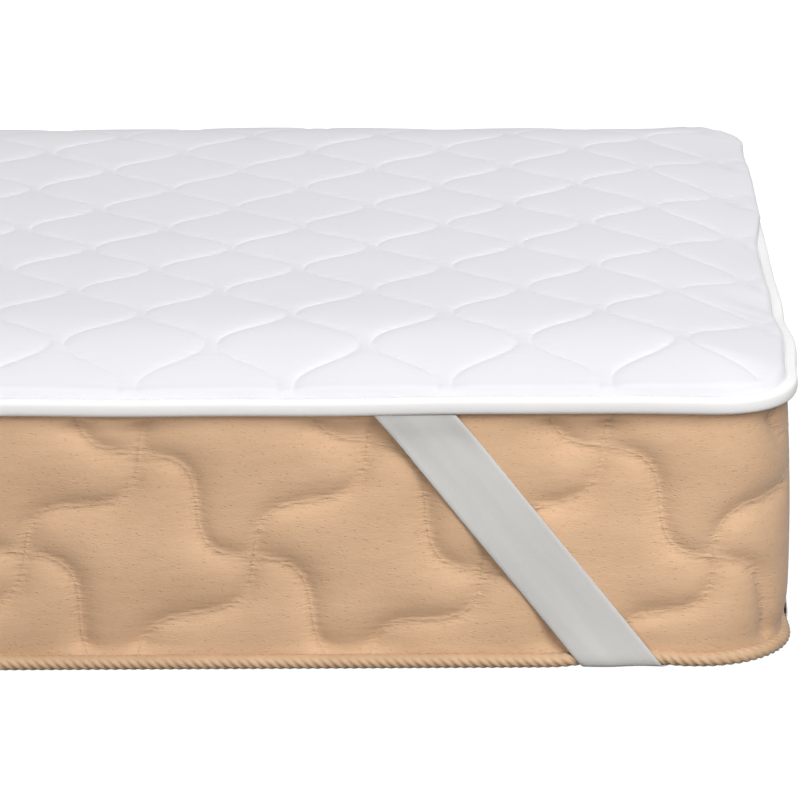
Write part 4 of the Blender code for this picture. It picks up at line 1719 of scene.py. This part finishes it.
# %% [markdown]
# Stretched elastic is straight across its width, so a strap is a row of straight rulings, and
# it bends only about the mattress's edges. A table gives the line down one side, and rounding
# makes it smooth. Each station holds a centre, half a ruling and the outward direction, all in
# the corner's own frame: in from the end, in from the side, and up.

# %% Down one side
STRAP_WIDTH = 0.050
STRAP_HEM_FROM_CORNER = 0.2920
STRAP_FOOT_FROM_CORNER = 0.1262
# (out from the side, height) down one side of the mattress
STRAP_LINE = (
    (0.0060, 0.2084),
    (0.0052, 0.2010),
    (0.0022, 0.1860),
    (0.0030, 0.1500),
    (0.0031, 0.1100),
    (0.0021, 0.0600),
    (0.0023, 0.0320),
    (0.0034, 0.0170),
    (0.0040, 0.0110),
    (0.0037, 0.0060),
    (0.0020, 0.0022),
    (-0.0050, 0.0015),
)


def rounded(points, times):
    """A line with its bends cut off again and again, which makes it smooth."""
    for _ in range(times):
        ahead = points[:-1] * 0.75 + points[1:] * 0.25
        behind = points[:-1] * 0.25 + points[1:] * 0.75
        middle = np.stack([ahead, behind], axis=1).reshape(-1, points.shape[1])
        points = np.concatenate([points[:1], middle, points[-1:]])
    return points


def strap_side():
    """The stations down one side, and how far the strap leans for each metre down."""
    line = rounded(np.array(STRAP_LINE), 2)
    run = np.concatenate([[0.0], np.cumsum(np.linalg.norm(np.diff(line, axis=0), axis=1))])
    lean = (STRAP_HEM_FROM_CORNER - STRAP_FOOT_FROM_CORNER) / run[-1]
    centres = np.column_stack([STRAP_HEM_FROM_CORNER - lean * run, -line[:, 0], line[:, 1]])
    heading = np.gradient(line, axis=0)
    heading /= np.linalg.norm(heading, axis=1)[:, None]
    normals = np.column_stack([np.zeros(len(line)), heading[:, 1], heading[:, 0]])
    rulings = np.zeros_like(centres)
    rulings[:, 0] = STRAP_WIDTH / 2 * math.hypot(1, lean)
    return np.stack([centres, rulings, normals], axis=1), lean


down, strap_lean = strap_side()
print(f"{len(down)} stations down a side, leaning {math.degrees(math.atan(strap_lean)):.0f} degrees")

# %% [markdown]
# Under the corner the strap curves gently from one side's line to the other's, and its
# rulings turn through a right angle on the way. Going up the next side is the same line again
# with the two horizontal directions changed over.

# %% Under the corner
STRAP_UNDER_STEPS = 16


def strap_under(start, lean):
    """The curve under the corner, with rulings that turn from one edge's line to the other's."""
    from_end, from_side, height = start
    across = math.atan(lean)
    pull = (from_end - from_side) / (math.sin(across) + math.cos(across))
    middle = (from_end - pull * math.sin(across), from_side + pull * math.cos(across))
    stations = []
    for t in np.arange(1, STRAP_UNDER_STEPS) / STRAP_UNDER_STEPS:
        weights = np.array([(1 - t) ** 2, 2 * t * (1 - t), t**2])
        a = weights @ (from_end, middle[0], from_side)
        b = weights @ (from_side, middle[1], from_end)
        turn = math.pi / 2 * t
        half = STRAP_WIDTH / 2 / math.cos(turn - across - t * (math.pi / 2 - 2 * across))
        ruling = (half * math.cos(turn), half * math.sin(turn), 0.0)
        stations.append(((a, b, height), ruling, (0.0, 0.0, -1.0)))
    return np.array(stations)


under = strap_under(down[-1, 0], strap_lean)
up = down[::-1, :, [1, 0, 2]]
STRAP_STATIONS = np.concatenate([down, under, up])
print(f"{len(STRAP_STATIONS)} stations in all")

# %% [markdown]
# The section is a thin band with rounded edges, and a ripple of half a millimetre keeps its
# face from looking ruled. The same strap is turned over for each of the four corners.

# %% Four straps
STRAP_THICKNESS = 0.0010
STRAP_POINTS = 14
EDGE_CROWDING = 0.8
SELVEDGE = 0.0012
RIBBON_WAVE = 0.0005
RIBBON_WAVE_SIZE = 0.02
RIBBON_STRETCH = 0.25  # the ripple is drawn out along the strap


def strap_section():
    """(share across, share of the thickness) round the strap, with full rounded edges."""
    across = np.linspace(-1, 1, STRAP_POINTS)
    across = np.sign(across) * np.abs(across) ** EDGE_CROWDING
    face = [(place, 1.0) for place in across * (1 - SELVEDGE / STRAP_WIDTH)]
    back = [(place, -1.0) for place, _ in face[::-1]]
    return np.array([*face, (1.0, 0.0), *back, (-1.0, 0.0)])


def corner_strap(name, side_x, side_y):
    section = strap_section()
    centres, rulings, normals = (STRAP_STATIONS[:, k] for k in range(3))
    steps = np.linalg.norm(np.diff(centres, axis=0), axis=1)
    run = np.concatenate([[0.0], np.cumsum(steps)])
    run = run - run[-1] / 2
    across, thick = section.T
    place = (run[:, None] * RIBBON_STRETCH, across * STRAP_WIDTH / 2)
    wave = RIBBON_WAVE * (1 + ripple(*place, RIBBON_WAVE_SIZE, seed=21)) / 2
    lift = thick * STRAP_THICKNESS / 2 + wave
    points = centres[:, None] + across[:, None] * rulings[:, None] + lift[:, :, None] * normals[:, None]
    from_end, from_side, height = points.reshape(-1, 3).T
    x = side_x * (MATTRESS_LENGTH / 2 - from_end)
    y = side_y * (MATTRESS_WIDTH / 2 - from_side)
    points = np.column_stack([x, y, height])
    faces = ring_faces(len(centres), len(section)).tolist()
    faces.append(list(range(len(section))))
    faces.append(list(range(len(points) - len(section), len(points)))[::-1])
    strap = add_piece(name, points, faces, GREY_ELASTIC)
    cloth_map(strap.data, np.repeat(run, len(section)), np.tile(across * STRAP_WIDTH / 2, len(run)))
    tidy_mesh(strap.data)
    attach(strap, "root")
    return strap


straps = []
for side_x, side_y in CORNER_SIDES:
    where = ("front" if side_y < 0 else "back") + ("_right" if side_x > 0 else "_left")
    strap = corner_strap(f"strap_{where}", side_x, side_y)
    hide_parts(f"corner_strap_{where}")
    straps.append(strap)
    report(strap)

# %% [markdown]
# ## Floor, light and camera
#
# A product shot like this stands on pure white. The floor shines to the camera alone: a Light
# Path node switches its glow off for all other rays, so that it doesn't light the bed from
# below.

# %% Floor
FLOOR_SIZE = 30.0
FLOOR_BELOW = 0.0005
FLOOR_GREY = 0.25


def white_floor():
    """A floor that looks pure white, and gives back little light."""
    made = bpy.data.materials.new("white_floor")
    made.use_nodes = True
    tree = made.node_tree
    shader = tree.nodes["Principled BSDF"]
    shader.inputs["Base Color"].default_value = (FLOOR_GREY, FLOOR_GREY, FLOOR_GREY, 1.0)
    shader.inputs["Roughness"].default_value = 0.9
    shader.inputs["Emission Color"].default_value = (1.0, 1.0, 1.0, 1.0)
    seen = add_node(tree, "ShaderNodeLightPath").outputs["Is Camera Ray"]
    tree.links.new(seen, shader.inputs["Emission Strength"])
    half = FLOOR_SIZE / 2
    corners = [(x * half, y * half, -FLOOR_BELOW) for x, y in ((-1, -1), (1, -1), (1, 1), (-1, 1))]
    floor = add_piece("floor", corners, [(0, 1, 2, 3)], made)


white_floor()
print("floor laid")

# %% [markdown]
# Two soft lights shine on the topper and two on the mattress with its straps. Each pair is a
# main light on the right and a weak one low in front. The main light on the topper stands far
# away and high, so that all the puffs get the same slanting light. The one on the mattress
# stands near and low, so that it reaches in under the rim. Light linking keeps each light to
# its own pieces, as a flag in front of a lamp does in a studio.

# %% Soft lights
def soft_light(name, place, target, size, power, shines_on):
    """A round soft light, kept to one group of pieces."""
    data = bpy.data.lights.new(name, "AREA")
    data.shape = "DISK"
    data.size = size
    data.energy = power
    light = bpy.data.objects.new(name, data)
    light.location = place
    light.rotation_mode = "QUATERNION"
    light.rotation_quaternion = (Vector(target) - Vector(place)).to_track_quat("-Z", "Y")
    bpy.context.scene.collection.objects.link(light)
    lit = bpy.data.collections.new(f"lit_by_{name}")
    for piece in shines_on:
        lit.objects.link(piece)
    light.light_linking.receiver_collection = lit


topper = [pad, quilting, tape, tape_stitches]
bed = [cover, side_stitches, cord, *straps]
# (name, place, target, size, power, the pieces that it shines on)
LIGHTS = (
    ("topper_light", (5.3, -4.2, 5.6), (0.5, 0.0, 0.2), 1.2, 398, topper),
    ("topper_fill", (0.6, -3.0, 0.3), (0.6, 0.0, 0.2), 1.5, 25, topper),
    ("bed_light", (1.49, -1.92, 1.36), (0.65, -0.45, 0.1), 1.2, 36, bed),
    ("bed_fill", (0.5, -3.0, 0.5), (0.6, 0.0, 0.1), 1.5, 20, bed),
)
for light in LIGHTS:
    soft_light(*light)
print("lights on")

# %% [markdown]
# The world is white where the camera sees it and dimmer as a light: brightest overhead, dimmer
# towards the horizon, and dimmest on the right, where the lamps stand. The slopes that face
# the lamps are then not lit twice. In a world, the texture coordinate used here is the
# direction in which a ray goes.

# %% White world
HORIZON = 0.1  # how bright the world is at the horizon, as a share of overhead


def white_world(strength, fall):
    world = bpy.data.worlds.new("white_world")
    bpy.context.scene.world = world
    world.use_nodes = True
    tree = world.node_tree
    seen = add_node(tree, "ShaderNodeLightPath").outputs["Is Camera Ray"]
    towards = add_node(tree, "ShaderNodeTexCoord").outputs["Generated"]
    parts = add_node(tree, "ShaderNodeSeparateXYZ", {0: towards}).outputs
    share = maths(tree, "MULTIPLY_ADD", maths(tree, "MAXIMUM", parts[0], 0.0), -fall, 1.0)
    up = maths(tree, "MAXIMUM", parts[2], 0.0)
    overhead = maths(tree, "MULTIPLY_ADD", up, 1.0 - HORIZON, HORIZON)
    dimmed = maths(tree, "MULTIPLY", maths(tree, "MULTIPLY", share, overhead), strength)
    unseen = maths(tree, "SUBTRACT", 1.0, seen)
    level = maths(tree, "MULTIPLY_ADD", dimmed, unseen, seen)
    ground = tree.nodes["Background"]
    ground.inputs["Color"].default_value = (1.0, 1.0, 1.0, 1.0)
    tree.links.new(level, ground.inputs["Strength"])


white_world(strength=0.93, fall=0.9)
print("world lit")

# %% [markdown]
# The camera stands 3.4 m in front of the bed and looks down at it through a long lens. Its
# place and turns were fitted to the rows of the quilting, the hem and the foot. The focal
# length in pixels and the width of the picture give the lens in millimetres.

# %% Camera
PHOTO_PIXELS = 800
FOCAL_PIXELS = 4616
SENSOR = 36.0
FAR = 100


def photo_camera(place, down, left, roll):
    """Down, left and roll are the camera's pitch, turn and lean to the right, in degrees."""
    data = bpy.data.cameras.new("camera")
    data.sensor_width = SENSOR
    data.lens = FOCAL_PIXELS / PHOTO_PIXELS * SENSOR
    data.clip_end = FAR
    camera = bpy.data.objects.new("camera", data)
    camera.location = place
    turn = Quaternion((0, 0, 1), math.radians(left))
    tilt = Quaternion((1, 0, 0), math.radians(90 - down))
    lean = Quaternion((0, 0, -1), math.radians(roll))
    camera.rotation_mode = "QUATERNION"
    camera.rotation_quaternion = turn @ tilt @ lean
    bpy.context.scene.collection.objects.link(camera)
    bpy.context.scene.camera = camera


photo_camera(place=(0.735, -3.854, 1.202), down=16.11, left=0.644, roll=0.505)
bpy.context.scene.view_settings.view_transform = "Standard"
print("camera set")
